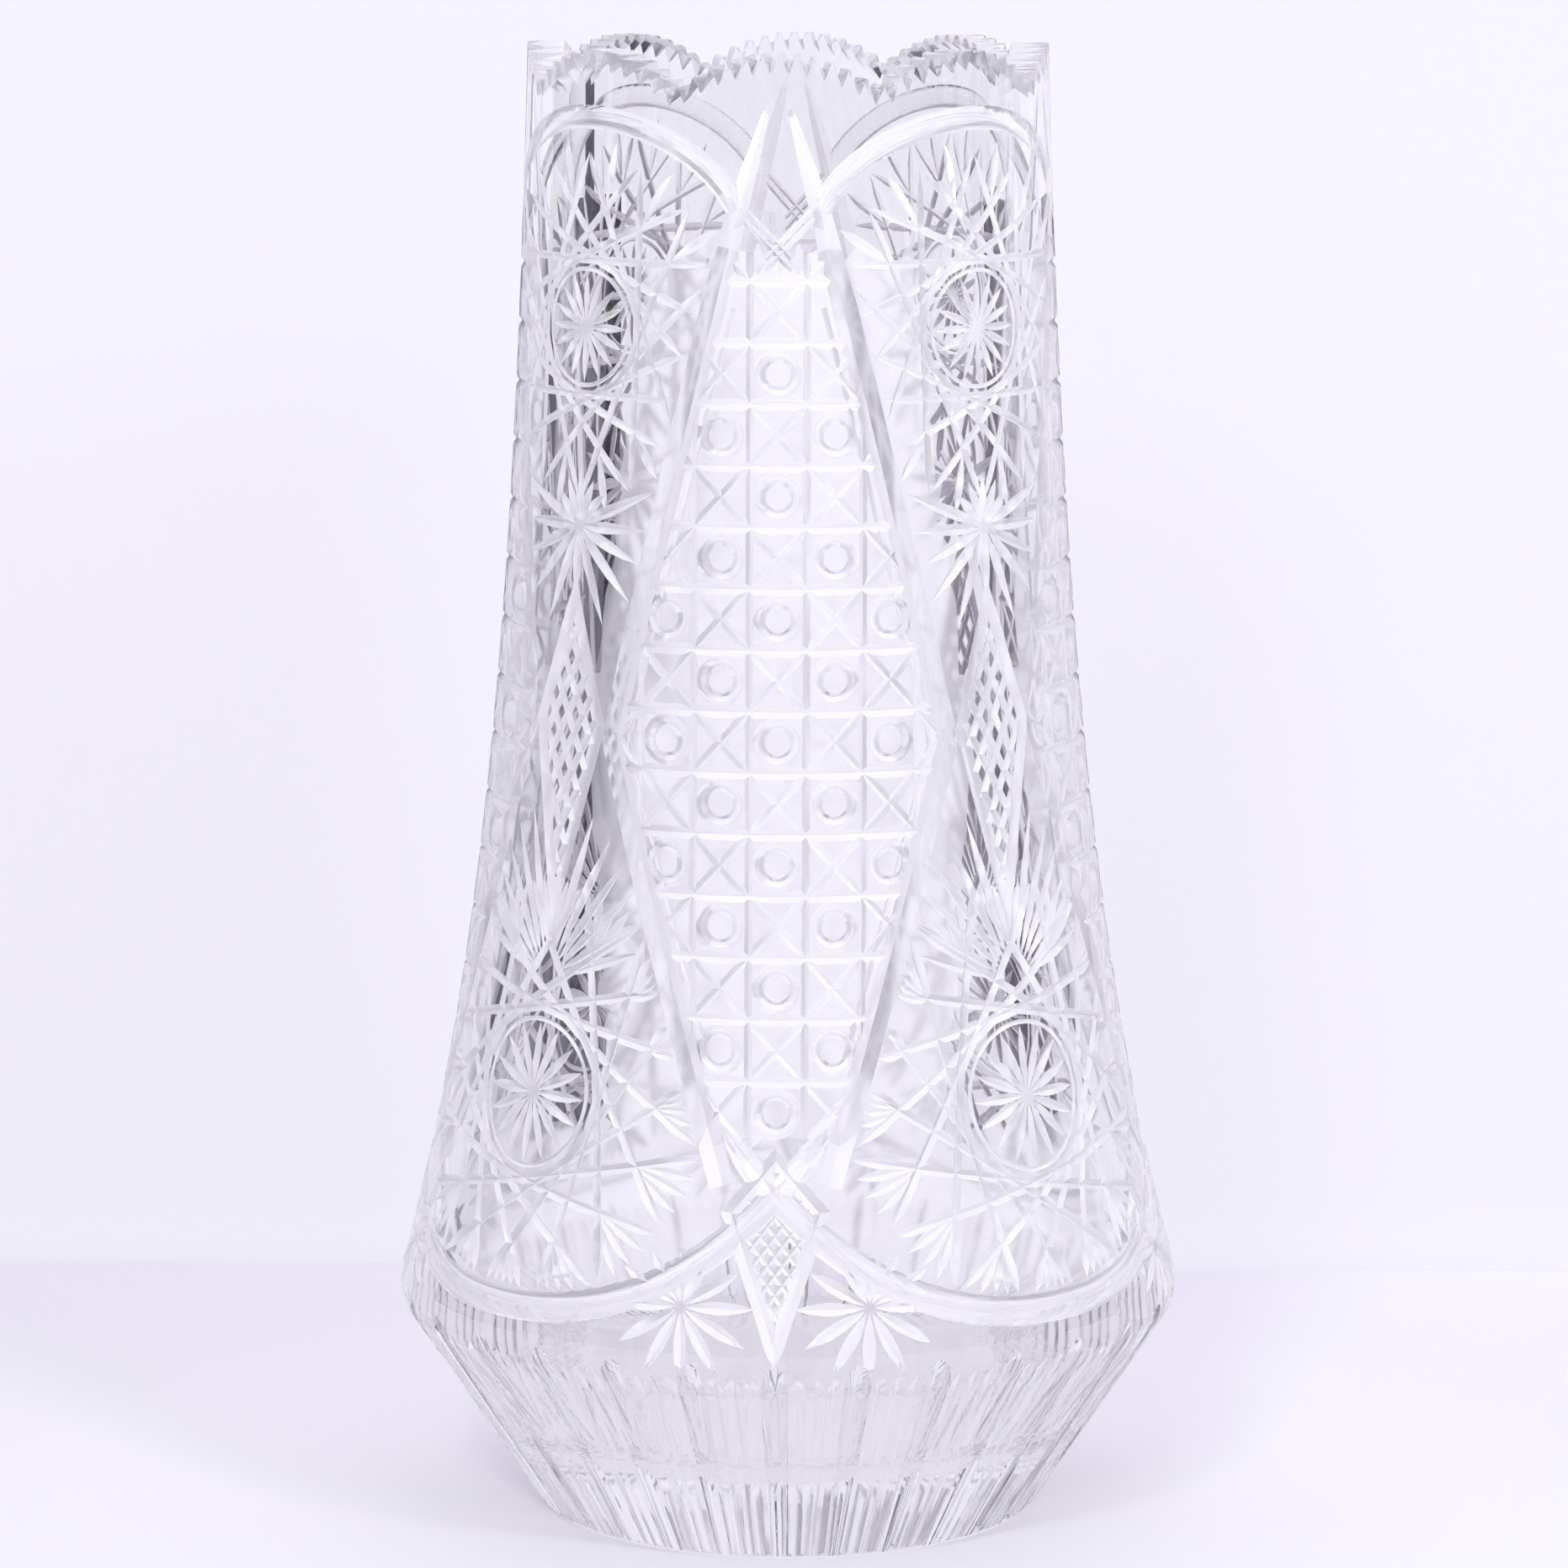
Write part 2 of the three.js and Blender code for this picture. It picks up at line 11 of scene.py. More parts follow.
import bmesh
import bpy
import numpy as np
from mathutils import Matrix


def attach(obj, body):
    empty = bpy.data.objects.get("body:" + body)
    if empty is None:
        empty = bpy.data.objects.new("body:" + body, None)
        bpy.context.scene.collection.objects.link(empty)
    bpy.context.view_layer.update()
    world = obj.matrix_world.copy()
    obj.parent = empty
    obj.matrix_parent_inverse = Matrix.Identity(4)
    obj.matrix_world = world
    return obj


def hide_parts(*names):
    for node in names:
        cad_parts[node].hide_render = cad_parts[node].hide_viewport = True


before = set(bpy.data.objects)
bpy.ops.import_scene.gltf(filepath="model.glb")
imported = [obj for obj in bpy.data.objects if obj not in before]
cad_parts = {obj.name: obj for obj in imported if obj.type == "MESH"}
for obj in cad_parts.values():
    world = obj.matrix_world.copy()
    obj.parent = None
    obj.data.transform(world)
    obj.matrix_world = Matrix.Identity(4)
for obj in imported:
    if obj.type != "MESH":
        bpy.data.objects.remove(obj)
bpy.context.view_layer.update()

MM = 0.001

# %% [markdown]
# ## The turned body
# A blank of glass is round about one axis, so one profile says all of it: a cone below the shoulder, and
# above it a wall that curves in to the rim as an exponential curve and gets thinner. A lathe modifier could
# turn it, but every cut is laid on the same profile later, so it is worked out in numpy.

# %% Sizes of the body, in millimetres
HEIGHT = 300.0
FOOT_RADIUS = 50.8
FOOT_ROUNDING = 5.0
SHOULDER_RADIUS = 80.9
SHOULDER_HEIGHT = 45.3
SHOULDER_ROUNDING = 12.0
RIM_RADIUS = 52.3
WALL_FALLOFF = 110.0
RIM_WALL = 7.2
BELLY_WALL = 10.6
BELLY_RISE = 3.0
FLOOR_HEIGHT = 20.0
FLOOR_RADIUS = 51.0
FLOOR_ROUNDING = 14.0
BELLY_ROUNDING = 22.0
FINE_ROWS = 240  # rows of the fine profile that all cuts are laid on
FINE_STEPS = 40


# %% The profile
def unit(vectors):
    """Vectors scaled to length one."""
    return vectors / np.linalg.norm(vectors, axis=-1, keepdims=True)


def wall_radius(height):
    """Radius of the wall above the shoulder: an exponential fall from the shoulder's radius to the rim's."""
    falloff = np.exp(-(np.asarray(height, float) - SHOULDER_HEIGHT) / WALL_FALLOFF)
    at_rim = math.exp(-(HEIGHT - SHOULDER_HEIGHT) / WALL_FALLOFF)
    return RIM_RADIUS + (SHOULDER_RADIUS - RIM_RADIUS) * (falloff - at_rim) / (1 - at_rim)


def rounded_corner(before, corner, after, radius, steps):
    """The arc in a corner. Its centre lies on the bisector, radius / sin(half the angle) away."""
    before, corner, after = (np.array(p, float) for p in (before, corner, after))
    first, last = unit(before - corner), unit(after - corner)
    half = math.acos(float(np.dot(first, last))) / 2
    centre = corner + unit(first + last) * radius / math.sin(half)
    start = corner + first * radius / math.tan(half) - centre
    end = corner + last * radius / math.tan(half) - centre
    sweep = math.atan2(start[0] * end[1] - start[1] * end[0], float(np.dot(start, end)))
    turn = np.linspace(0, sweep, steps + 1)
    return centre + np.stack([start[0] * np.cos(turn) - start[1] * np.sin(turn),
                              start[0] * np.sin(turn) + start[1] * np.cos(turn)], -1)


def outer_profile(wall_rows, arc_steps):
    """Radius and height of the outside, from the edge of the resting face up to the rim."""
    height = np.linspace(SHOULDER_HEIGHT + SHOULDER_ROUNDING, HEIGHT, wall_rows + 1)
    wall = np.stack([wall_radius(height), height], -1)
    foot, shoulder = (FOOT_RADIUS, 0), (SHOULDER_RADIUS, SHOULDER_HEIGHT)
    return np.concatenate([rounded_corner((0, 0), foot, shoulder, FOOT_ROUNDING, arc_steps),
                           rounded_corner(foot, shoulder, wall[0], SHOULDER_ROUNDING, arc_steps), wall])


def inner_profile(wall_rows, arc_steps):
    """Radius and height of the inside, from the lip down to the edge of the flat floor."""
    belly = (SHOULDER_RADIUS - BELLY_WALL, SHOULDER_HEIGHT + BELLY_RISE)
    floor = (FLOOR_RADIUS, FLOOR_HEIGHT)
    height = np.linspace(HEIGHT, belly[1] + BELLY_ROUNDING, wall_rows + 1)
    share = (HEIGHT - height) / (HEIGHT - SHOULDER_HEIGHT)
    wall = np.stack([wall_radius(height) - RIM_WALL - (BELLY_WALL - RIM_WALL) * share, height], -1)
    return np.concatenate([wall, rounded_corner(wall[-1], belly, floor, BELLY_ROUNDING, arc_steps),
                           rounded_corner(belly, floor, (0, FLOOR_HEIGHT), FLOOR_ROUNDING, arc_steps)])


OUTSIDE = outer_profile(FINE_ROWS, FINE_STEPS)
INSIDE = inner_profile(FINE_ROWS, FINE_STEPS)
print("Widest outside radius:", round(float(OUTSIDE[:, 0].max()), 2), "mm")

# %% [markdown]
# ## Places on the wall
# The pattern is drawn in millimetres on panels, as a cutter marks it on the blank: so far across from the
# panel's middle line, at such a height. These functions turn that into a point on the wall and the way out
# of the glass.

# %% From a panel to the wall
PANELS = 4
QUARTER = 2 * math.pi / PANELS
STAR_MIDDLE = QUARTER / 2  # azimuth of the first star panel's middle line


def full_turn(count):
    """Even angles once round."""
    return np.linspace(0, 2 * math.pi, count, endpoint=False)


def about_axis(azimuth, radius, height):
    """Points at angles round the axis. Angle nothing faces the camera, and angles grow to its right."""
    return np.stack(np.broadcast_arrays(np.sin(azimuth) * radius, -np.cos(azimuth) * radius, height), -1)


def outside_radius(height):
    """Radius of the outside at a height, read off the fine profile."""
    return np.interp(height, OUTSIDE[:, 1], OUTSIDE[:, 0])


def azimuth_of(across, height):
    """Angle round the axis for a distance across a panel: arc length over radius."""
    return np.asarray(across, float) / outside_radius(height)


def on_wall(azimuth, height):
    """Points on the outside and the outward normals there, which lean by the change of radius over 1 mm."""
    slope = outside_radius(height + 0.5) - outside_radius(height - 0.5)
    return about_axis(azimuth, outside_radius(height), height), unit(about_axis(azimuth, 1.0, -slope))


# %% [markdown]
# ## A cut as a solid
# A cutter's wheel has a profile: a V for mitre cuts, a round one for hollows. Carried along a path on the
# wall it sweeps a solid, which comes off the glass. Where the wheel is lifted, the cut narrows to a point,
# which is why wheel cuts look like leaves. A curve with a bevel would need cleaning, so the sweep is worked
# out as one array: stations times section points. The size of a cut is its width and its depth.

# %% Sections and the sweep
SKIM = 0.05  # how far a cut's end rises clear of the glass
MARGIN = 0.16  # how far a section keeps its slope above the glass
LIFT = 1.3  # how far a cutting solid stands out of the glass
HOLLOW_STEPS = 6
SHARPEST_BEND = 0.35  # least cosine of half a bend that a section is widened for


def mitre(width, depth):
    """A V section that is width wide at the surface when it is depth deep: keel, two flanks and a lid."""
    high = depth + MARGIN
    half = 0.5 * width * high / depth
    return np.array([(0, 0), (half, high), (half, depth + LIFT), (-half, depth + LIFT), (-half, high)])


def hollow(width, depth):
    """A round section: an arc of radius (half width squared + depth squared) / (2 depths), and a lid."""
    radius = (width * width / 4 + depth * depth) / (2 * depth)
    reach = math.acos(max(-1.0, 1 - (depth + MARGIN) / radius))
    turn = np.linspace(-reach, reach, HOLLOW_STEPS + 1)
    arc = np.stack([radius * np.sin(turn), radius * (1 - np.cos(turn))], -1)
    return np.concatenate([arc, [(arc[-1, 0], depth + LIFT), (arc[0, 0], depth + LIFT)]])


def carry(azimuth, height, depth, section, closed=False):
    """A section carried along a path on the wall. At each station it stands square to the path, its keel at
    the depth there. At a bend it is widened by 1 / cos(half the bend), as a mitre joint is."""
    points, normals = on_wall(azimuth, height)
    ahead = np.roll(points, -1, axis=0) - points
    behind = np.roll(ahead, 1, axis=0)
    if not closed:
        ahead[-1], behind[0] = ahead[-2], behind[1]
    ahead = unit(ahead)
    along = unit(ahead + unit(behind))
    side = unit(np.cross(normals, along))
    widen = 1 / np.clip((along * ahead).sum(1), SHARPEST_BEND, 1)
    depth = np.broadcast_to(depth, len(points))
    across = side[:, None] * (section[None, :, 0] * widen[:, None])[..., None]
    upward = normals[:, None] * (section[None, :, 1] - depth[:, None])[..., None]
    return shell(points[:, None] + across + upward, closed)


def triangles(first, second, third):
    """Rows of three corners each, from the numbers of the corners."""
    return np.stack([first, second, third], -1).reshape(-1, 3)


def shell(rings, closed):
    """Vertices and outward triangles of a sweep: two triangles for each step of section and path, and a fan
    over each open end. The sign of the volume says whether the faces have to be turned round."""
    count, size = rings.shape[:2]
    last = count if closed else count - 1
    i, j = np.meshgrid(np.arange(last), np.arange(size), indexing="ij")
    here, beside = i * size + j, i * size + (j + 1) % size
    ahead, far = (i + 1) % count * size + j, (i + 1) % count * size + (j + 1) % size
    faces = np.concatenate([triangles(here, ahead, beside), triangles(beside, ahead, far)])
    if not closed:
        k = np.arange(1, size - 1)
        start = triangles(np.zeros_like(k), k, k + 1)
        end = start[:, ::-1] + (count - 1) * size
        faces = np.concatenate([faces, start, end])
    vertices = rings.reshape(-1, 3)
    a, b, c = (vertices[faces[:, n]] for n in range(3))
    if np.einsum("ij,ij->i", a, np.cross(b, c)).sum() < 0:
        faces = faces[:, ::-1]
    return vertices, faces


def engrave(across, height, depth, section, closed=False):
    """A section carried along a path that is drawn on a panel."""
    return carry(azimuth_of(across, height), height, depth, section, closed)


def engrave_circle(across, height, radius, sides, depth, section):
    """A section carried round a circle that is drawn on a panel."""
    x, y = radius * np.sin(full_turn(sides)), radius * np.cos(full_turn(sides))
    return engrave(across + x, height + y, depth, section, closed=True)


# %% Cuts are kept in batches
batches = {}


def keep(batch, cut, turn=0.0):
    """Adds a cut, turned round the axis, to a batch. No two cuts of a batch touch: it is one clean solid."""
    vertices, faces = cut
    c, s = math.cos(turn), math.sin(turn)
    turned = vertices @ np.array([(c, s, 0), (-s, c, 0), (0, 0, 1)])
    batches.setdefault(batch, []).append((turned, faces))


def keep_on_all(batch, cut, first=0.0):
    """Adds a cut to all four panels of a kind, from the azimuth of the first."""
    for panel in range(PANELS):
        keep(batch, cut, first + panel * QUARTER)


# %% Paths and depths
LINE_SPACING = 4.0
CUT_SPACING = 5.0
RUN_OUT_POWER = 0.7


def line(across, height, spacing=LINE_SPACING):
    """Stations on the straight lines between points of a panel, no further apart than the spacing."""
    across, height = np.asarray(across, float), np.asarray(height, float)
    lengths = np.hypot(np.diff(across), np.diff(height))
    counts = np.maximum(1, np.ceil(lengths / spacing)).astype(int)
    place = np.concatenate([[0.0]] + [i + np.arange(1, n + 1) / n for i, n in enumerate(counts)])
    corners = np.arange(len(across))
    return np.interp(place, corners, across), np.interp(place, corners, height)


def leaf(count, fullest):
    """Depth along a leaf-shaped cut as a share: a parabola whose fullest place is moved along by a power."""
    t = np.linspace(0, 1, count) ** (math.log(0.5) / math.log(fullest))
    return 4 * t * (1 - t)


def run_out(share_along, length, taper):
    """Depth along a straight cut as a share: full in the middle and falling to nothing over the taper."""
    from_end = np.minimum(share_along, 1 - share_along) * length
    return np.clip(from_end / taper, 0, 1) ** RUN_OUT_POWER


# %% [markdown]
# ## The button panels
# Four long panels narrow to the top and the foot. Each is framed by two broad mitre cuts round a chequer of
# round buttons and crossed squares. A cutter draws level and upright lines, then slanting ones through the
# squares between the buttons, and at last rounds each button. The same steps are taken here.

# %% Frame of a button panel
PANEL_HEIGHTS = np.array([81.0, 166.0, 270.0])  # foot, waist and top
PANEL_HALF_WIDTHS = np.array([10.5, 35.0, 8.0])
BORDER_WIDTH = 5.2
BORDER_DEPTH = 1.5
BORDER_FADE = 18.0  # length below the panel's top over which the border gets its full depth
PALM_TIP = 291.5  # above the top the border goes on as a leaf that leans to the middle
PALM_TIP_OFFSET = 1.6
PALM_DEPTH = 1.25
PALM_POWER = 0.6
WAIST_ROUNDING = 6.0
WAIST_STEPS = 6
BEAD_OFFSET = 4.1  # from the border's keel to the thin line inside it
BEAD_SIZE = (1.1, 0.4)
BEAD_HEIGHTS = (100, 252)


def panel_half_width(height):
    """Half width of a button panel at a height, to the keel of its border."""
    return np.interp(height, PANEL_HEIGHTS, PANEL_HALF_WIDTHS)


def border_path(hand, inset=0.0):
    """The border's keel from the palm down to the swag, its bend at the waist rounded."""
    foot, waist, top = np.stack([PANEL_HALF_WIDTHS - inset, PANEL_HEIGHTS], -1)
    path = np.concatenate([[top], rounded_corner(top, waist, foot, WAIST_ROUNDING, WAIST_STEPS), [foot]])
    across, height = line(path[:, 0], path[:, 1])
    return hand * across, height


for hand in (-1, 1):
    across, height = border_path(hand)
    panel_top = PANEL_HEIGHTS[2]
    palm_across, palm_height = line([hand * PALM_TIP_OFFSET, across[0]], [PALM_TIP, panel_top])
    rise = np.clip((PALM_TIP - palm_height) / (PALM_TIP - panel_top), 0, 1)
    sink = np.clip((panel_top - height[1:]) / BORDER_FADE, 0, 1)
    depth = np.r_[PALM_DEPTH * rise ** PALM_POWER, PALM_DEPTH + (BORDER_DEPTH - PALM_DEPTH) * sink]
    depth[0] = -SKIM
    path = np.r_[palm_across, across[1:]], np.r_[palm_height, height[1:]]
    keep_on_all("border %+d" % hand, engrave(*path, depth, mitre(BORDER_WIDTH, BORDER_DEPTH)))

    across, height = border_path(hand, BEAD_OFFSET)
    inner = (height > BEAD_HEIGHTS[0]) & (height < BEAD_HEIGHTS[1])
    keep_on_all("bead %+d" % hand, engrave(across[inner], height[inner], BEAD_SIZE[1], mitre(*BEAD_SIZE)))

# %% Lines of the chequer
BUTTON_ACROSS = 11.2
BUTTON_UP = 11.93
BUTTON_TOP_ROW = 238.3
BUTTON_ROWS = 13
BUTTON_COLUMNS = 3  # on each side of the middle one
UPRIGHT_SIZE = (1.6, 0.48)
UPRIGHT_SPACING = 12.0  # an upright line is nearly straight, so it needs few stations
ROW_SIZE = (2.3, 0.72)
SLANT_SIZE = (1.8, 0.5)
SLANTS = 9
FIELD_LOW = 90.0
FIELD_HIGH = 262.0
FIELD_REACH = 40  # further across than the field is wide
BORDER_CLEAR = 1.2  # a line ends this far inside the border's keel, where the mitre has cut it away
SHORTEST_ROW = 4
SHORTEST_SLANT = 3
SAMPLES = 801


def inside_field(across, height):
    """True where a place lies in the chequered field of a button panel."""
    inside_borders = np.abs(across) < panel_half_width(height) - BORDER_CLEAR
    return inside_borders & (height > FIELD_LOW) & (height < FIELD_HIGH)


def clipped(from_point, to_point, inside):
    """The part of a straight line inside a region: the longest run of samples that pass its test."""
    t = np.linspace(0, 1, SAMPLES)
    across = from_point[0] + (to_point[0] - from_point[0]) * t
    height = from_point[1] + (to_point[1] - from_point[1]) * t
    good = np.r_[False, inside(across, height), False]
    edges = np.flatnonzero(good[1:] != good[:-1])
    if len(edges) == 0:
        return None
    runs = edges.reshape(-1, 2)
    first, past = runs[np.argmax(runs[:, 1] - runs[:, 0])]
    return (across[first], across[past - 1]), (height[first], height[past - 1])


def straight_cut(ends, size, spacing=CUT_SPACING, taper=0.0):
    """A straight mitre cut between two places of a panel. With a taper it runs out to points."""
    width, depth = size
    across, height = line(*ends, spacing=spacing)
    depths = depth
    if taper:
        along = np.r_[0, np.cumsum(np.hypot(np.diff(across), np.diff(height)))]
        depths = (depth + SKIM) * run_out(along / along[-1], along[-1], taper) - SKIM
    return engrave(across, height, depths, mitre(width, depth))


for row in range(-2, BUTTON_ROWS + 1):
    height = BUTTON_TOP_ROW - (row - 0.5) * BUTTON_UP
    ends = clipped((-FIELD_REACH, height), (FIELD_REACH, height), inside_field)
    if ends and ends[0][1] - ends[0][0] > SHORTEST_ROW:
        keep_on_all("level lines", straight_cut(ends, ROW_SIZE))
for column in range(-BUTTON_COLUMNS, BUTTON_COLUMNS):
    across = (column + 0.5) * BUTTON_ACROSS
    ends = clipped((across, FIELD_LOW), (across, FIELD_HIGH), inside_field)
    if ends:
        keep_on_all("upright lines", straight_cut(ends, UPRIGHT_SIZE, UPRIGHT_SPACING))
for hand in (-1, 1):
    for step in range(-SLANTS, SLANTS):
        middle = BUTTON_TOP_ROW - BUTTON_UP * (2 * step + 1)
        rise = BUTTON_UP / BUTTON_ACROSS * FIELD_REACH * hand
        ends = clipped((-FIELD_REACH, middle - rise), (FIELD_REACH, middle + rise), inside_field)
        if ends and abs(ends[0][1] - ends[0][0]) > SHORTEST_SLANT:
            keep_on_all("slanting lines %+d" % hand, straight_cut(ends, SLANT_SIZE))

# %% Round buttons
BUTTON_TOP_RADIUS = 3.1
BUTTON_FOOT_RADIUS = 4.9
BUTTON_OUTER_RADIUS = 5.55
BUTTON_RELIEF = 0.95
BUTTON_LAP = (0.25, 0.03)  # how far the ring laps over the button's top, and how far above it
BUTTON_BEND = (0.8, 0.28)  # where the dome bends: outward from the top's edge, and down from the wall
BUTTON_FLARE = 0.1
BUTTON_CLEAR = 3.4  # least distance from a button's middle to the border's keel
BUTTON_SIDES = 16


def button_ring(across, height):
    """The ring that rounds one button: a dome on its inside, steep on its outside, carried round a circle."""
    middle = (BUTTON_TOP_RADIUS + BUTTON_FOOT_RADIUS) / 2
    foot = (BUTTON_FOOT_RADIUS - BUTTON_TOP_RADIUS) / 2
    outer, lid = BUTTON_OUTER_RADIUS - middle, BUTTON_RELIEF + LIFT
    lap = -foot - BUTTON_LAP[0]
    section = np.array([(foot, 0), (outer, BUTTON_RELIEF), (outer + BUTTON_FLARE, lid), (lap, lid),
                        (lap, BUTTON_RELIEF + BUTTON_LAP[1]),
                        (-foot + BUTTON_BEND[0], BUTTON_RELIEF - BUTTON_BEND[1])])
    return engrave_circle(across, height, middle, BUTTON_SIDES, BUTTON_RELIEF, section * (-1, 1))


buttons = 0
for row in range(-1, BUTTON_ROWS):
    height = BUTTON_TOP_ROW - row * BUTTON_UP
    for column in range(-BUTTON_COLUMNS, BUTTON_COLUMNS + 1):
        across = column * BUTTON_ACROSS
        if (row + column) % 2 == 0 and abs(across) < panel_half_width(height) - BUTTON_CLEAR:
            keep_on_all("button rings", button_ring(across, height))
            buttons += 1
print("Buttons on one panel:", buttons)

# %% [markdown]
# ## The star panels
# Between them stand four star panels. From the top they hold a big star with a ring of rays in its middle, a
# burst of rays, a long kite filled with crosshatching, a fan of leaves, and a larger star. A star is sixteen
# straight cuts, all at one distance from its middle, so that they cross and leave little facets. All cuts
# end where the panel's frame begins, which one test tells.

# %% Outline of a star panel
ARCH_TOP = 287.0
ARCH_FULLNESS = 0.94
SWAG_LOW = 54.0
SWAG_END = 92.0
SWAG_FULLNESS = 2.4
FRAME_CLEAR = 2.6  # from the keel of the frame to where the panel's own cuts end
ARCH_CLEAR = 3.2
SWAG_CLEAR = 3.0


def arch_height(share):
    """Height of the arch at a share of its half span: the upper part of an ellipse."""
    low = math.sqrt(1 - ARCH_FULLNESS ** 2)
    rise = np.sqrt(np.clip(1 - (ARCH_FULLNESS * np.asarray(share)) ** 2, 0, 1))
    return PANEL_HEIGHTS[2] + (ARCH_TOP - PANEL_HEIGHTS[2]) * (rise - low) / (1 - low)


def swag_height(share):
    """Height of the swag at a share of its half span: a power curve that is low in the middle."""
    return SWAG_LOW + (SWAG_END - SWAG_LOW) * np.abs(share) ** SWAG_FULLNESS


ARCH_SPAN = QUARTER / 2 - float(azimuth_of(PANEL_HALF_WIDTHS[2], PANEL_HEIGHTS[2]))
SWAG_SPAN = QUARTER / 2 + float(azimuth_of(PANEL_HALF_WIDTHS[0], PANEL_HEIGHTS[0]))


def star_half_width(height):
    """Half width of a star panel: an eighth of the way round less the half width of a button panel."""
    return QUARTER / 2 * outside_radius(height) - panel_half_width(height)


def inside_star_panel(across, height):
    """True where a place lies clear of the borders, the arch and the swag that frame a star panel."""
    azimuth = azimuth_of(across, height)
    below_arch = height < arch_height(azimuth / ARCH_SPAN) - ARCH_CLEAR
    above_swag = height > swag_height(azimuth / SWAG_SPAN) + SWAG_CLEAR
    return (np.abs(across) < star_half_width(height) - FRAME_CLEAR) & below_arch & above_swag


# %% Arches and swags
ARCH_WIDTH = 4.8
ARCH_DEPTH = 1.15
SWAG_WIDTH = 6.0
SWAG_DEPTH = 1.3
SWAG_TAPER = 0.12  # share of its half span over which a swag runs out
FRAME_STEPS = 28

share = np.linspace(-1, 1, FRAME_STEPS + 1)
arch = carry(ARCH_SPAN * share, arch_height(share), ARCH_DEPTH, hollow(ARCH_WIDTH, ARCH_DEPTH))
keep_on_all("arches", arch, STAR_MIDDLE)
swag_depth = SWAG_DEPTH * np.clip((1 - np.abs(share)) / SWAG_TAPER, 0, 1) ** RUN_OUT_POWER
swag_depth[[0, -1]] -= SKIM
swag = carry(SWAG_SPAN * share, swag_height(share), swag_depth, hollow(SWAG_WIDTH, SWAG_DEPTH))
for panel in range(PANELS):
    keep("swags %d" % (panel % 2), swag, STAR_MIDDLE + panel * QUARTER)

# %% Crossed lines where two arches would meet
CROSS_FOOT = 259.5
CROSS_START = 7.6  # across, at the panel's top
CROSS_END = 2.6  # across, on the other side, at the foot
CROSS_SIZE = (1.2, 0.5)
CROSS_GAP = 2.2
for hand in (-1, 1):
    for offset in (-CROSS_GAP / 2, CROSS_GAP / 2):
        ends = ((hand * CROSS_START, -hand * CROSS_END), (PANEL_HEIGHTS[2] + offset, CROSS_FOOT + offset))
        keep_on_all("crossed lines %+d" % hand, straight_cut(ends, CROSS_SIZE))

# %% Stars
STAR_RAYS = 16
STAR_TAPER = 5.0
HEART_RAY_START = 0.9  # the rays leave a little glass at the middle
HEART_RAY_GAP = 0.5  # and end this far inside the ring
HEART_RAY_WIDTH = 0.15  # as a share of the ring's radius
HEART_RAY_DEPTH = 0.85
RING_SIZE = (0.9, 0.35)
RING_SIDES = 48
LEAF_START = 1.72  # where the leaves of a pocket start, as a share of the cuts' distance
LEAF_GAP = 0.4
LEAF_REACH = 14.5
LEAF_LEAST = 6.0
LEAF_SIZE = (2.2, 0.9)
LEAF_FULLEST = 0.6
REACH_SAMPLES = 200


def bearing(middle, angle, distance, sideways=0.0):
    """The place at an angle from upright and a distance from a middle, then some way to the right."""
    return (distance * math.sin(angle) + sideways * math.cos(angle),
            middle + distance * math.cos(angle) - sideways * math.sin(angle))


def ray(middle, angle, start, end, size, fullest=0.5, stations=7, offset=0.0):
    """A leaf-shaped cut that points away from a middle, between two distances from it."""
    a, b = bearing(middle, angle, start), bearing(middle, angle, end)
    t = np.linspace(0, 1, stations)
    depths = (size[1] + SKIM) * leaf(stations, fullest) - SKIM
    return engrave(offset + a[0] + (b[0] - a[0]) * t, a[1] + (b[1] - a[1]) * t, depths, mitre(*size))


def reach_inside(middle, angle, end, offset=0.0):
    """How far one can go from a middle at an angle, up to an end, and still be inside the star panel."""
    distance = np.linspace(0, end, REACH_SAMPLES)
    across, height = offset + distance * math.sin(angle), middle + distance * math.cos(angle)
    outside = np.flatnonzero(~inside_star_panel(across, height))
    return float(distance[outside[0] - 1]) if len(outside) else end


def star(name, middle, ring, tangent, reach, size, leaves, turned_by):
    """A big star: rays inside a ring, straight cuts that pass the middle at the tangent's distance, and
    leaves in each pocket between two points. The cuts may be turned by half a step."""
    half = math.sqrt(reach * reach - tangent * tangent)
    for i in range(STAR_RAYS):
        angle = 2 * math.pi * i / STAR_RAYS
        heart_ray = ray(middle, angle, HEART_RAY_START, ring - HEART_RAY_GAP,
                        (HEART_RAY_WIDTH * ring, HEART_RAY_DEPTH), stations=5)
        keep_on_all("rays %d" % (i % 4), heart_ray, STAR_MIDDLE)
        angle += turned_by
        ends = clipped(bearing(middle, angle, tangent, -half), bearing(middle, angle, tangent, half),
                       inside_star_panel)
        keep_on_all("%s cut %d" % (name, i % 8), straight_cut(ends, size, taper=STAR_TAPER), STAR_MIDDLE)
        angle += math.pi / STAR_RAYS
        across, height = bearing(middle, angle, tangent * LEAF_START)
        for spread in leaves:
            turned = angle + math.radians(spread)
            end = reach_inside(height, turned, LEAF_REACH, across)
            if end > LEAF_LEAST:
                leaf_cut = ray(height, turned, LEAF_GAP, end, LEAF_SIZE, LEAF_FULLEST, 5, across)
                keep_on_all("%s leaves %d %+d" % (name, i % 2, spread), leaf_cut, STAR_MIDDLE)
    circle = engrave_circle(0, middle, ring, RING_SIDES, RING_SIZE[1], mitre(*RING_SIZE))
    keep_on_all("rings", circle, STAR_MIDDLE)


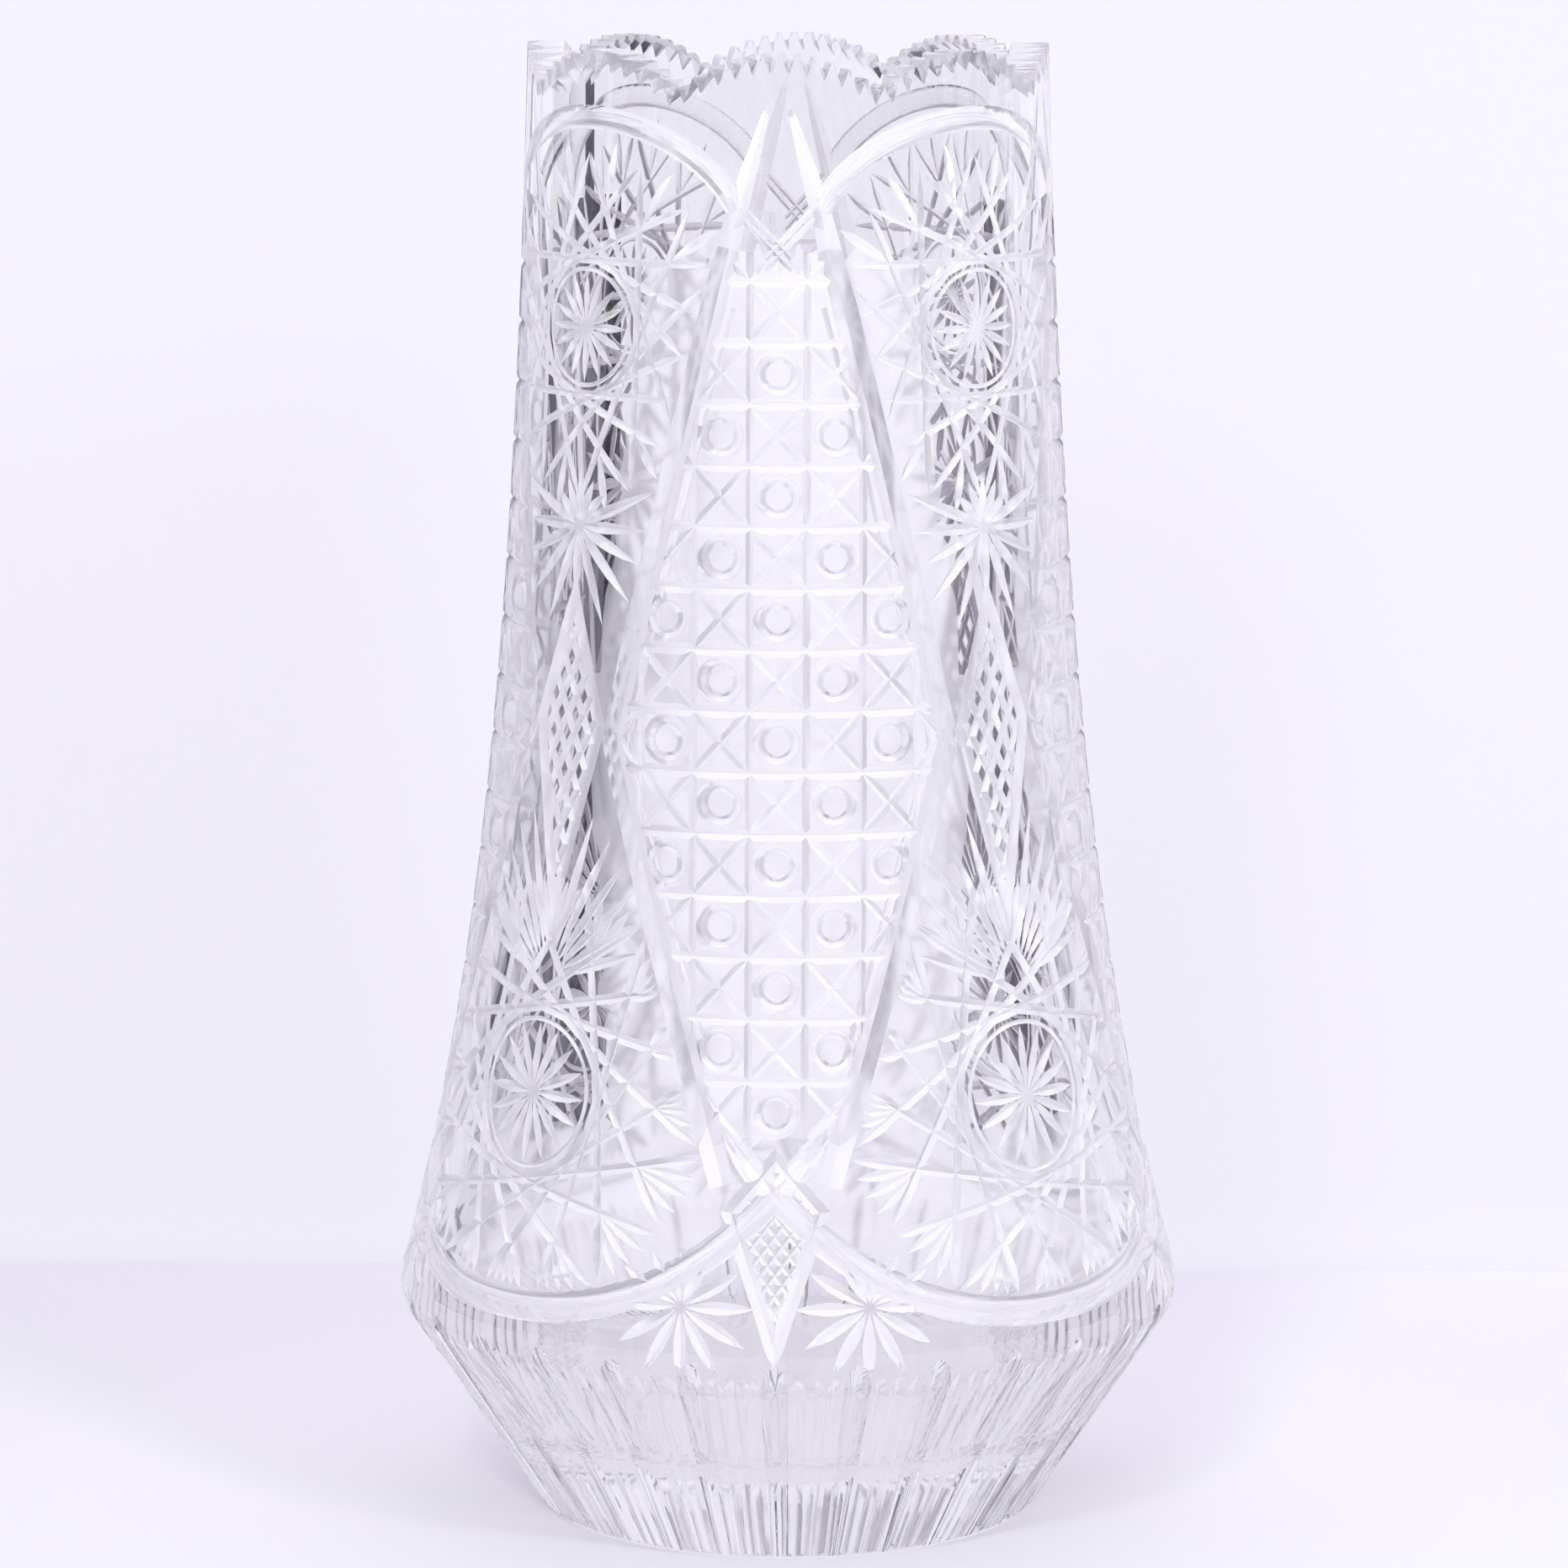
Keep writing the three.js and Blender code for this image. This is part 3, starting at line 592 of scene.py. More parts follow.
TOP_STAR = 246.0
LOW_STAR = 95.0
LOW_LEAVES = (-29, -15, 0, 15, 29)  # degrees from the pocket's middle line
star("top star", TOP_STAR, ring=11.4, tangent=13.2, reach=34.4, size=(1.6, 0.8), leaves=(0,), turned_by=0.0)
star("low star", LOW_STAR, ring=14.4, tangent=16.6, reach=42.0, size=(1.9, 0.95), leaves=LOW_LEAVES,
     turned_by=math.pi / STAR_RAYS)

# %% The burst of rays
BURST = 207.0
BURST_REACH = 21.0
BURST_REACH_UP = 10.0  # the star above leaves less room
BURST_UPWARD = 0.5  # least cosine of the angle from upright for a ray that points up
BURST_START = 0.9
BURST_FULLEST = 0.4
BURST_SIZE = (2.4, 1.15)
KITE_TOP = 193.0
for i in range(STAR_RAYS):
    angle = 2 * math.pi * i / STAR_RAYS
    longest = BURST_REACH if math.cos(angle) < BURST_UPWARD else BURST_REACH_UP
    if i == STAR_RAYS // 2:  # straight down, just into the kite's tip
        longest = BURST - KITE_TOP + 1
    end = reach_inside(BURST, angle, longest)
    cut = ray(BURST, angle, BURST_START, end, BURST_SIZE, BURST_FULLEST, stations=6)
    keep_on_all("burst %d" % (i % 4), cut, STAR_MIDDLE)

# %% [markdown]
# ## Kites
# A kite is a broad mitre cut round a field of crosshatching: two families of parallel lines, clipped to the
# kite. A long one fills the waist of the star panel, and a small one hangs under each button panel.

# %% Kites and their crosshatching
KITE_SPACING = 6.0
EDGE_SHARE = 0.12  # share of the edge's width that the field stays clear of its keel
SHORTEST_HATCH = 0.8  # as a share of the spacing
HATCH_LINES = 12


def kite(batch, top, waist, foot, half_width, edge, hatch, spacing, slant, first):
    """A kite from three heights, its edge one closed mitre, and its field hatched at a slant in degrees."""
    across, height = line([0, half_width, 0, -half_width, 0], [top, waist, foot, waist, top], KITE_SPACING)
    keep_on_all("kites", engrave(across[:-1], height[:-1], edge[1], mitre(*edge), closed=True), first)

    def inside(across, height):
        """True inside the kite, where its half width grows in a line to the waist and shrinks again."""
        room = np.interp(height, [foot, waist, top], [0, half_width, 0])
        return np.abs(across) < room - edge[0] * EDGE_SHARE

    run = (top - foot) / math.tan(math.radians(slant))
    for hand in (-1, 1):
        for step in range(-HATCH_LINES, HATCH_LINES + 1):
            start = step * spacing - hand * run / 2
            ends = clipped((start, foot), (start + hand * run, top), inside)
            if ends and abs(ends[1][1] - ends[1][0]) > spacing * SHORTEST_HATCH:
                keep_on_all("%s %+d" % (batch, hand), straight_cut(ends, hatch), first)


kite("long hatching", top=KITE_TOP, waist=168.0, foot=132.0, half_width=8.6,
     edge=(3.0, 1.5), hatch=(1.9, 0.8), spacing=4.1, slant=61, first=STAR_MIDDLE)
kite("small hatching", top=86.0, waist=76.0, foot=50.0, half_width=8.8,
     edge=(3.4, 1.4), hatch=(1.4, 0.6), spacing=2.9, slant=52, first=0.0)

# %% Fan of leaves under the long kite
FAN = 117.0
FAN_ANGLES = np.radians([15, 25, 35, 46, 58, 71])
FAN_START = 4.5
FAN_REACH = 35.0
FAN_STEP = 2.2  # each leaf is this much shorter than the one before
FAN_SIZE = (2.2, 1.0)
for n, angle in enumerate(FAN_ANGLES.tolist()):
    for hand in (-1, 1):
        end = reach_inside(FAN, hand * angle, FAN_REACH - FAN_STEP * n)
        keep_on_all("fan %d" % (n % 3), ray(FAN, hand * angle, FAN_START, end, FAN_SIZE), STAR_MIDDLE)

# %% Small stars beside the small kites
SMALL_STAR = 57.8
SMALL_STAR_OFFSET = 18.7
SMALL_STAR_RAYS = 12
SMALL_STAR_START = 0.7
SMALL_STAR_REACH = 15.0
SMALL_STAR_SQUEEZE = 4.5  # how much shorter the upright rays are, under the swag
SMALL_STAR_SIZE = (2.7, 1.15)
for hand in (-1, 1):
    for i in range(SMALL_STAR_RAYS):
        angle = 2 * math.pi * i / SMALL_STAR_RAYS
        reach = SMALL_STAR_REACH - SMALL_STAR_SQUEEZE * max(0.0, math.cos(angle)) ** 2
        cut = ray(SMALL_STAR, angle, SMALL_STAR_START, reach, SMALL_STAR_SIZE, stations=6,
                  offset=hand * SMALL_STAR_OFFSET)
        keep_on_all("small rays %d" % (i % 4), cut)

# %% [markdown]
# ## Flutes and rim
# The lower taper has thirty wide flutes, and three narrow ones between each pair, which all narrow towards
# the foot. One sleeve round the taper, whose inside has the flutes' section, cuts them at a stroke. A crown
# from above cuts the rim: eight scallops of twelve teeth, with sloping notches.

# %% The sleeve that cuts the flutes
WIDE_FLUTES = 30
WIDE_FLUTE_WIDTH = 5.6
WIDE_FLUTE_DEPTH = 2.2
WIDE_FLUTE_POINTS = 7
NARROW_PER_GAP = 3
NARROW_FLUTE_DEPTH = 0.8
CREST_DEPTH = 0.12
SLEEVE_BELOW = -6.0
SLEEVE_ABOVE = 14.0  # over the shoulder's height
SLEEVE_WALL = 12.0
FLUTE_PITCH = 2 * math.pi / WIDE_FLUTES
FLUTE_HALF = WIDE_FLUTE_WIDTH / SHOULDER_RADIUS / 2


def flute_section():
    """Azimuths once round, and the share of the taper's radius that is left at each: hollows for the wide
    flutes and V cuts for the narrow ones."""
    narrow = (FLUTE_PITCH - 2 * FLUTE_HALF) / NARROW_PER_GAP
    x = np.linspace(-1, 1, WIDE_FLUTE_POINTS)
    wide_depth = CREST_DEPTH + (WIDE_FLUTE_DEPTH - CREST_DEPTH) * (1 - x * x)
    edges = FLUTE_HALF + narrow * np.arange(0.5, NARROW_PER_GAP, 0.5)
    narrow_depth = np.where(np.arange(len(edges)) % 2 == 0, NARROW_FLUTE_DEPTH, CREST_DEPTH)
    azimuth = np.arange(WIDE_FLUTES)[:, None] * FLUTE_PITCH + np.r_[FLUTE_HALF * x, edges]
    return azimuth.ravel(), 1 - np.tile(np.r_[wide_depth, narrow_depth], WIDE_FLUTES) / SHOULDER_RADIUS


def sleeve():
    """The ring round the taper: inside, the cone times the flutes' section, and outside a plain cylinder."""
    azimuth, share = flute_section()
    below, above = SLEEVE_BELOW, SHOULDER_HEIGHT + SLEEVE_ABOVE
    lean = (SHOULDER_RADIUS - FOOT_RADIUS) / SHOULDER_HEIGHT
    outside = np.full_like(share, SHOULDER_RADIUS + SLEEVE_WALL)
    radii = np.stack([(FOOT_RADIUS + lean * below) * share, outside, outside,
                      (FOOT_RADIUS + lean * above) * share], -1)
    return shell(about_axis(azimuth[:, None], radii, [below, below, above, above]), closed=True)


keep("flutes", sleeve())

# %% The crown that cuts the rim
SCALLOPS = 8
SCALLOP_RISE = 7.0
TEETH = 12
NOTCH_OUTSIDE = 3.7
NOTCH_INSIDE = 1.3
CROWN_OVERHANG = 5.0
CROWN_RISE = 6.0


def crown():
    """A ring above the rim whose underside follows the scallops, a parabola for each, and drops into a notch
    between teeth, deeper on the outside of the wall than on the inside."""
    count = SCALLOPS * TEETH * 2
    step = np.arange(count)
    along = step / (2 * TEETH) - np.round(step / (2 * TEETH))
    scallop = HEIGHT - SCALLOP_RISE * (2 * along) ** 2
    notch = (step % 2)[:, None]
    inside, outside = RIM_RADIUS - RIM_WALL, RIM_RADIUS
    slope = (NOTCH_OUTSIDE - NOTCH_INSIDE) / (outside - inside)
    near, far = inside - CROWN_OVERHANG, outside + CROWN_OVERHANG
    radii = np.array([near, far, far, near])
    under = scallop[:, None] - notch * (NOTCH_INSIDE + slope * (radii[None, :2] - inside))
    heights = np.concatenate([under, np.full((count, 2), HEIGHT + CROWN_RISE)], 1)
    return shell(about_axis((2 * math.pi * step / count)[:, None], radii, heights), closed=True)


keep("crown", crown())
print("Batches of cuts:", len(batches), "holding", sum(len(b) for b in batches.values()), "cuts")

# %% [markdown]
# ## Cutting the blank
# The blank is the profile turned on a grid of angles. Each batch comes off it with Blender's Manifold
# boolean, which is exact about what is inside and quick enough for sixty-five batches.

# %% The blank and the boolean
TURNS = 88
WALL_ROWS = 16
INNER_ROWS = 14
ARC_STEPS = 6
SAME_PLACE = 1e-6


def blank():
    """The turned body: profile points times angles, with one middle point closing each pole."""
    profile = np.concatenate([outer_profile(WALL_ROWS, ARC_STEPS), inner_profile(INNER_ROWS, ARC_STEPS)])
    moved = np.linalg.norm(np.diff(profile, axis=0), axis=1) > SAME_PLACE
    profile = profile[np.r_[True, moved]]
    grid = about_axis(full_turn(TURNS)[:, None], profile[:, 0], profile[:, 1])
    rows = len(profile)
    i, j = np.meshgrid(np.arange(TURNS), np.arange(rows - 1), indexing="ij")
    here, beside = i * rows + j, (i + 1) % TURNS * rows + j
    under, floor = np.full(TURNS, TURNS * rows), np.full(TURNS, TURNS * rows + 1)
    first, following = here[:, 0], beside[:, 0]
    faces = np.concatenate([triangles(here, beside, beside + 1), triangles(here, beside + 1, here + 1),
                            triangles(following, first, under),
                            triangles(first + rows - 1, following + rows - 1, floor)])
    return np.concatenate([grid.reshape(-1, 3), [(0, 0, 0), (0, 0, FLOOR_HEIGHT)]]), faces


def new_object(name, vertices, faces, material=None):
    """A mesh object at the origin, from vertices in metres."""
    mesh = bpy.data.meshes.new(name)
    mesh.from_pydata(vertices, [], faces)
    if material:
        mesh.materials.append(material)
    piece = bpy.data.objects.new(name, mesh)
    bpy.context.scene.collection.objects.link(piece)
    return piece


def cut_away(piece, cuts):
    """Takes one batch of cuts off a piece with the Manifold boolean and keeps the result as its mesh."""
    starts = np.cumsum([0] + [len(v) for v, f in cuts[:-1]])
    vertices = np.concatenate([v for v, f in cuts])
    faces = np.concatenate([f + start for (v, f), start in zip(cuts, starts)])
    tool = new_object("tool", vertices * MM, faces.tolist())
    boolean = piece.modifiers.new("cut", "BOOLEAN")
    boolean.operation = "DIFFERENCE"
    boolean.solver = "MANIFOLD"
    boolean.object = tool
    finished = bpy.data.meshes.new_from_object(piece.evaluated_get(bpy.context.evaluated_depsgraph_get()))
    piece.modifiers.remove(boolean)
    old, piece.data = piece.data, finished
    spent = tool.data
    bpy.data.objects.remove(tool)
    bpy.data.meshes.remove(old)
    bpy.data.meshes.remove(spent)


vertices, faces = blank()
vase = new_object("cut_glass_vase", vertices * MM, faces.tolist())
print("Blank:", len(vase.data.polygons), "triangles")
for name, cuts in batches.items():
    before = len(vase.data.polygons)
    cut_away(vase, cuts)
    print("  %-22s %4d cuts, faces %d -> %d" % (name, len(cuts), before, len(vase.data.polygons)))

# %% [markdown]
# ## Crisp edges, smooth walls
# Glass shows every kink in its normals. So edges are marked sharp by their angle, and each corner that still
# lies on the turned surface gets the profile's exact normal. How deep below that surface a face lies and how
# far it leans mark a cut, which the mesh keeps as one number for each face, from nothing on the wall to one
# in a full cut. Where the real glass is smoother or whiter, it is set by place.

# %% Finish the mesh
SHARP_ANGLE = math.radians(19)
MERGE_DISTANCE = 0.0001
NEAR_WALL = 0.09  # a corner this close to the turned surface lies on it
ABOVE_FOOT = 1.5  # below this height the foot's edge keeps its own normals
TINY = 1e-9
SAME_WAY = math.cos(math.radians(4))
LEAST_TILT = 3.0  # degrees that the blank's own flat faces lean at most
FULL_TILT = 28.0
FULL_DEPTH = 0.7
FAR = 99.0


def triangulated(piece):
    """Merges doubled vertices, splits all faces into triangles, and counts the edges that lack two faces."""
    work = bmesh.new()
    work.from_mesh(piece.data)
    bmesh.ops.remove_doubles(work, verts=work.verts, dist=MERGE_DISTANCE * MM)
    bmesh.ops.triangulate(work, faces=work.faces)
    work.to_mesh(piece.data)
    open_edges = sum(1 for e in work.edges if len(e.link_faces) != 2)
    work.free()
    return open_edges


def profile_normals(points, profile, inward):
    """Distance of points from a turned profile, and its normals beside them, by the slope of its steps."""
    radius = np.hypot(points[:, 0], points[:, 1])
    order = np.argsort(profile[:, 1])
    heights, radii = profile[order, 1], profile[order, 0]
    slope = np.gradient(radii, heights + np.arange(len(heights)) * TINY)
    wall = np.interp(points[:, 2], heights, radii)
    lean = np.interp(points[:, 2], heights, slope)
    scale = np.sqrt(1 + lean * lean)
    out = points[:, :2] / np.maximum(radius, TINY)[:, None]
    normals = np.concatenate([out, -lean[:, None]], 1) / scale[:, None]
    return np.abs(radius - wall) / scale, (-normals if inward else normals)


# %% How satin each place is
FIELD_SATIN = (0.7, 0.9)  # least and most on the chequer
FRAME_SATIN = 0.65
LOW_SATIN = 0.4
LOW_SATIN_TOP = 90.0
BESIDE_SATIN = 0.5
CLEAR_SHARE = 0.5  # share of a star panel's half width that stays clear
HEART_RADIUS = 2.4
NARROW_SATIN = 0.45
RIM_SATIN = 0.35
SMOOTH_RIM = 288.5
TAPER_TOP = SHOULDER_HEIGHT + 1


def satin_by_place(cut, azimuth, height):
    """How satin each outer face is: even on the chequer, milky low in the star panels and beside the stars,
    white at the stars' hearts, less on the frames and the rim, and on the taper in narrow flutes alone."""
    radius = outside_radius(height)
    across = (azimuth - np.round(azimuth / QUARTER) * QUARTER) * radius
    from_keel = np.abs(across) - panel_half_width(height)
    on_panels = (height > FIELD_LOW) & (height < FIELD_HIGH)
    cut = np.where((from_keel < -BORDER_WIDTH / 2) & on_panels, np.clip(cut, *FIELD_SATIN), cut)
    cut = np.where((np.abs(from_keel) < BORDER_WIDTH / 2) & on_panels, cut * FRAME_SATIN, cut)

    star_azimuth = azimuth - STAR_MIDDLE - np.round(azimuth / QUARTER - 0.5) * QUARTER
    above_swag = height - swag_height(star_azimuth / SWAG_SPAN)
    above_arch = height - arch_height(star_azimuth / ARCH_SPAN)
    cut = np.where((height < LOW_SATIN_TOP) & (above_swag > 0), np.maximum(cut, LOW_SATIN), cut)
    from_middle = np.abs(star_azimuth) * radius / star_half_width(height)
    inside_frame = (from_middle < 1) & on_panels & (above_arch < 0) & (above_swag > 0)
    cut = np.where(inside_frame & (from_middle > CLEAR_SHARE), np.maximum(cut, BESIDE_SATIN), cut)
    on_frame = (np.abs(above_swag) < SWAG_WIDTH / 2) | (np.abs(above_arch) < ARCH_WIDTH / 2)
    cut = np.where(on_frame, cut * FRAME_SATIN, cut)
    for middle in (TOP_STAR, BURST, LOW_STAR):
        heart = np.hypot(star_azimuth * radius, height - middle) < HEART_RADIUS
        cut = np.where(heart, 1.0, cut)

    in_wide = np.abs(azimuth - np.round(azimuth / FLUTE_PITCH) * FLUTE_PITCH) < FLUTE_HALF
    cut = np.where(height < TAPER_TOP, cut * np.where(in_wide, 0.0, NARROW_SATIN), cut)
    return np.where(height > SMOOTH_RIM, cut * RIM_SATIN, cut)


# %% Normals and the cut attribute
def read(items, name, width=1, kind=np.float32):
    """Rows with one value or vector of every item of a mesh."""
    values = np.empty(len(items) * width, kind)
    items.foreach_get(name, values)
    return values.reshape(-1, width)


def finish_surface(piece):
    """Sets exact normals on the corners that lie on the turned surface, and writes the cut attribute."""
    mesh = piece.data
    mesh.polygons.foreach_set("use_smooth", np.ones(len(mesh.polygons), bool))
    mesh.set_sharp_from_angle(angle=SHARP_ANGLE)
    places = read(mesh.vertices, "co", 3).astype(float) / MM
    corners = read(mesh.loops, "vertex_index", kind=np.int32).reshape(-1, 3)
    normals = read(mesh.corner_normals, "vector", 3).reshape(-1, 3, 3)
    face_normal = read(mesh.polygons, "normal", 3)[:, None]
    depth = tilt = np.full(len(corners), FAR)
    for profile, inward in ((OUTSIDE, False), (INSIDE, True)):
        distance, exact = profile_normals(places, profile, inward)
        near = (distance < NEAR_WALL) & (places[:, 2] > ABOVE_FOOT)
        agreement = (exact[corners] * face_normal).sum(-1)
        whole = (near[corners] & (agreement > SAME_WAY)).all(1)
        normals[whole] = exact[corners][whole]
        depth = np.minimum(depth, distance[corners].mean(1))
        tilt = np.minimum(tilt, np.degrees(np.arccos(np.clip(agreement, -1, 1))).mean(1))
    mesh.normals_split_custom_set(normals.reshape(-1, 3).tolist())
    cut = np.clip(np.maximum((tilt - LEAST_TILT) / FULL_TILT, depth / FULL_DEPTH), 0, 1)
    x, y, height = places[corners].mean(1).T
    outer = np.hypot(x, y) > outside_radius(height) - RIM_WALL / 2
    cut[outer] = satin_by_place(cut[outer], np.arctan2(x[outer], -y[outer]), height[outer])
    mesh.attributes.new("cut", "FLOAT", "FACE").data.foreach_set("value", cut.astype(np.float32))
    print("Mean of the cut attribute:", round(float(cut.mean()), 3))


print("Open edges:", triangulated(vase))
finish_surface(vase)
print("Finished vase:", len(vase.data.polygons), "triangles")

# %% [markdown]
# ## Soda-lime glass, clear on the walls and satin in the cuts
# Pressed soda-lime glass has an index of refraction near 1.52. Its walls are fire-polished and clear. The
# cuts keep a fine grain, so they look like strokes of white satin: the cut attribute makes a face rougher
# and scatters part of its light, in soft steps that two materials would not give. A path tracer makes glass
# cast a full black shadow, since it can't find a lamp through a refracting surface. So for shadow rays alone
# the glass is a tinted clear sheet, and the floor keeps a pale, soft shadow.

# %% Colours and nodes
def linear(hex_colour):
    """An sRGB hex colour as linear red, green, blue and alpha: straight below 0.04045, a power above."""
    channels = [int(hex_colour[i:i + 2], 16) / 255 for i in (0, 2, 4)]
    return [c / 12.92 if c <= 0.04045 else ((c + 0.055) / 1.055) ** 2.4 for c in channels] + [1.0]


def add(tree, kind, settings=None, **links):
    """Adds a shader node, sets its sockets or properties, and links sockets given by keyword: a name with
    underscores for spaces, or a number after an underscore. A link comes from a socket or a node's first."""
    node = tree.nodes.new("ShaderNode" + kind)
    for name, value in (settings or {}).items():
        if name in node.inputs:
            node.inputs[name].default_value = value
        else:
            setattr(node, name, value)
    for name, source in links.items():
        number = name[1:].isdigit()
        target = node.inputs[int(name[1:])] if number else node.inputs[name.replace("_", " ").title()]
        tree.links.new(source if isinstance(source, bpy.types.NodeSocket) else source.outputs[0], target)
    return node


def new_material(name):
    """An empty node material, and its tree."""
    material = bpy.data.materials.new(name)
    material.use_nodes = True
    material.node_tree.nodes.clear()
    return material, material.node_tree


# %% Glass
GLASS_TINT = "ffffff"
SHADOW_TINT = "e6e2ec"
GLASS_INDEX = 1.52
CLEAR_ROUGHNESS = 0.01
SATIN_ROUGHNESS = 0.22
SATIN_CLEARNESS = 0.6  # share of the light that a fully satin face still lets through

glass, tree = new_material("pressed_soda_lime_glass")
cut = add(tree, "Attribute", {"attribute_name": "cut"})
satin = cut.outputs["Fac"]
roughness = add(tree, "MapRange", {"To Min": CLEAR_ROUGHNESS, "To Max": SATIN_ROUGHNESS}, value=satin)
clearness = add(tree, "MapRange", {"To Min": 1.0, "To Max": SATIN_CLEARNESS}, value=satin)
surface = add(tree, "BsdfPrincipled", {"Base Color": linear(GLASS_TINT), "IOR": GLASS_INDEX},
              roughness=roughness, transmission_weight=clearness)
sheet = add(tree, "BsdfTransparent", {"Color": linear(SHADOW_TINT)})
path = add(tree, "LightPath")
both = add(tree, "MixShader", None, _0=path.outputs["Is Shadow Ray"], _1=surface, _2=sheet)
add(tree, "OutputMaterial", None, surface=both)
vase.data.materials.clear()
vase.data.materials.append(glass)
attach(vase, "root")
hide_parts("vase")
print("Material:", glass.name)

# %% [markdown]
# ## A white room
# The photo was taken on white card with a white wall close behind, in flat, even, slightly lavender light.
# The wall is narrow here, since what stands beside it is seen in the glass. Both are partly lit and partly
# shown at their own colour, which keeps them pale and still shows the shadow. Far off, where the lamps don't
# reach, they show their own colour alone.

# %% White card for floor and wall
FLOOR_COLOUR = "ecebef"
WALL_COLOUR = "eeecf4"
FLOOR_LIT_SHARE = 0.8
WALL_LIT_SHARE = 0.3
CARD_ROUGHNESS = 0.9
FADE_START = 0.35
FADE_END = 1.0
FLOOR_SIZE = 12.0
WALL_DISTANCE = 0.215
WALL_HALF_WIDTH = 0.25
WALL_HEIGHT = 0.9
BEND_RADIUS = 0.012
BEND_POINTS = 9
FLOOR_GAP = 0.00005


def seen_rays(tree):
    """One for rays from the camera, a reflection or a refraction, and nothing for those that gather light."""
    path = add(tree, "LightPath")
    seen = path.outputs["Is Camera Ray"]
    for kind in ("Is Glossy Ray", "Is Transmission Ray"):
        seen = add(tree, "Math", {"operation": "MAXIMUM"}, _0=seen, _1=path.outputs[kind])
    return seen


def white_card(name, colour, lit_share, one_sided):
    """Matt white card: its lit surface, mixed for seen rays with its own plain colour, more so with the
    distance from the vase. A one-sided card is clear from behind, so that a view from there looks through."""
    material, tree = new_material(name)
    matt = add(tree, "BsdfPrincipled", {"Base Color": linear(colour), "Roughness": CARD_ROUGHNESS})
    plain = add(tree, "Emission", {"Color": linear(colour), "Strength": 1.0})
    place = add(tree, "TexCoord")
    distance = add(tree, "VectorMath", {"operation": "LENGTH"}, vector=place.outputs["Object"])
    own = add(tree, "MapRange", {"From Min": FADE_START, "From Max": FADE_END, "To Min": 1 - lit_share},
              value=distance.outputs["Value"])
    share = add(tree, "Math", {"operation": "MULTIPLY"}, _0=seen_rays(tree), _1=own)
    card = add(tree, "MixShader", None, _0=share, _1=matt, _2=plain)
    if one_sided:
        behind = add(tree, "NewGeometry").outputs["Backfacing"]
        card = add(tree, "MixShader", None, _0=behind, _1=card, _2=add(tree, "BsdfTransparent"))
    add(tree, "OutputMaterial", None, surface=card)
    return material


def strip(first, last):
    """Vertices and faces of a strip between two rows of points."""
    count = len(first)
    faces = [(i, count + i, count + i + 1, i + 1) for i in range(count - 1)]
    return np.concatenate([first, last]), faces


corners = np.array([(-1, -1, 0), (1, -1, 0), (1, 1, 0), (-1, 1, 0)]) * FLOOR_SIZE / 2
floor_card = white_card("white_floor_card", FLOOR_COLOUR, FLOOR_LIT_SHARE, False)
new_object("floor", corners, [(0, 1, 2, 3)], floor_card)
turn = np.linspace(0, math.pi / 2, BEND_POINTS)
bend = np.stack([WALL_DISTANCE - BEND_RADIUS * (1 - np.sin(turn)), BEND_RADIUS * (1 - np.cos(turn))], -1)
profile = np.concatenate([bend, [(WALL_DISTANCE, WALL_HEIGHT)]])
profile[0, 1] = FLOOR_GAP
sides = [np.insert(profile, 0, x, axis=1) for x in (-WALL_HALF_WIDTH, WALL_HALF_WIDTH)]
wall_card = white_card("white_wall_card", WALL_COLOUR, WALL_LIT_SHARE, True)
new_object("wall", *strip(*sides), wall_card)

# %% [markdown]
# ## Even light
# The room's light comes from all sides, and two soft lamps in front give the pale shadows. They are hidden
# from the glass, since each would be a hard white spot in hundreds of facets.

# %% World
WORLD_SEEN = "fcfaff"
WORLD_LIGHT = "f6f4fd"
WORLD_STRENGTH = 0.62

world = bpy.data.worlds.new("white_room")
bpy.context.scene.world = world
world.use_nodes = True
tree = world.node_tree
tree.nodes.clear()
shown = add(tree, "Background", {"Color": linear(WORLD_SEEN), "Strength": 1.0})
light = add(tree, "Background", {"Color": linear(WORLD_LIGHT), "Strength": WORLD_STRENGTH})
both = add(tree, "MixShader", None, _0=seen_rays(tree), _1=light, _2=shown)
add(tree, "OutputWorld", None, surface=both)

# %% Lamps
LAMP_COLOUR = "fcfaff"
LAMP_DISTANCE = 1.6
LAMP_TARGET = np.array([0, 0, 0.15])  # the middle of the vase


def soft_lamp(name, azimuth, elevation):
    """A square area lamp at an azimuth and an elevation in degrees, turned to the middle of the vase."""
    a, e = math.radians(azimuth), math.radians(elevation)
    data = bpy.data.lights.new(name, "AREA")
    data.size = 0.25
    data.energy = 12.0
    data.color = linear(LAMP_COLOUR)[:3]
    lamp = bpy.data.objects.new(name, data)
    bpy.context.scene.collection.objects.link(lamp)
    lamp.location = LAMP_DISTANCE * about_axis(a, math.cos(e), math.sin(e)) + LAMP_TARGET
    lamp.rotation_euler = (math.pi / 2 - e, 0, a)
    lamp.visible_glossy = False
    lamp.visible_transmission = False
    lamp.visible_camera = False


soft_lamp("left_softbox", -13, 36)
soft_lamp("right_softbox", 40, 28)
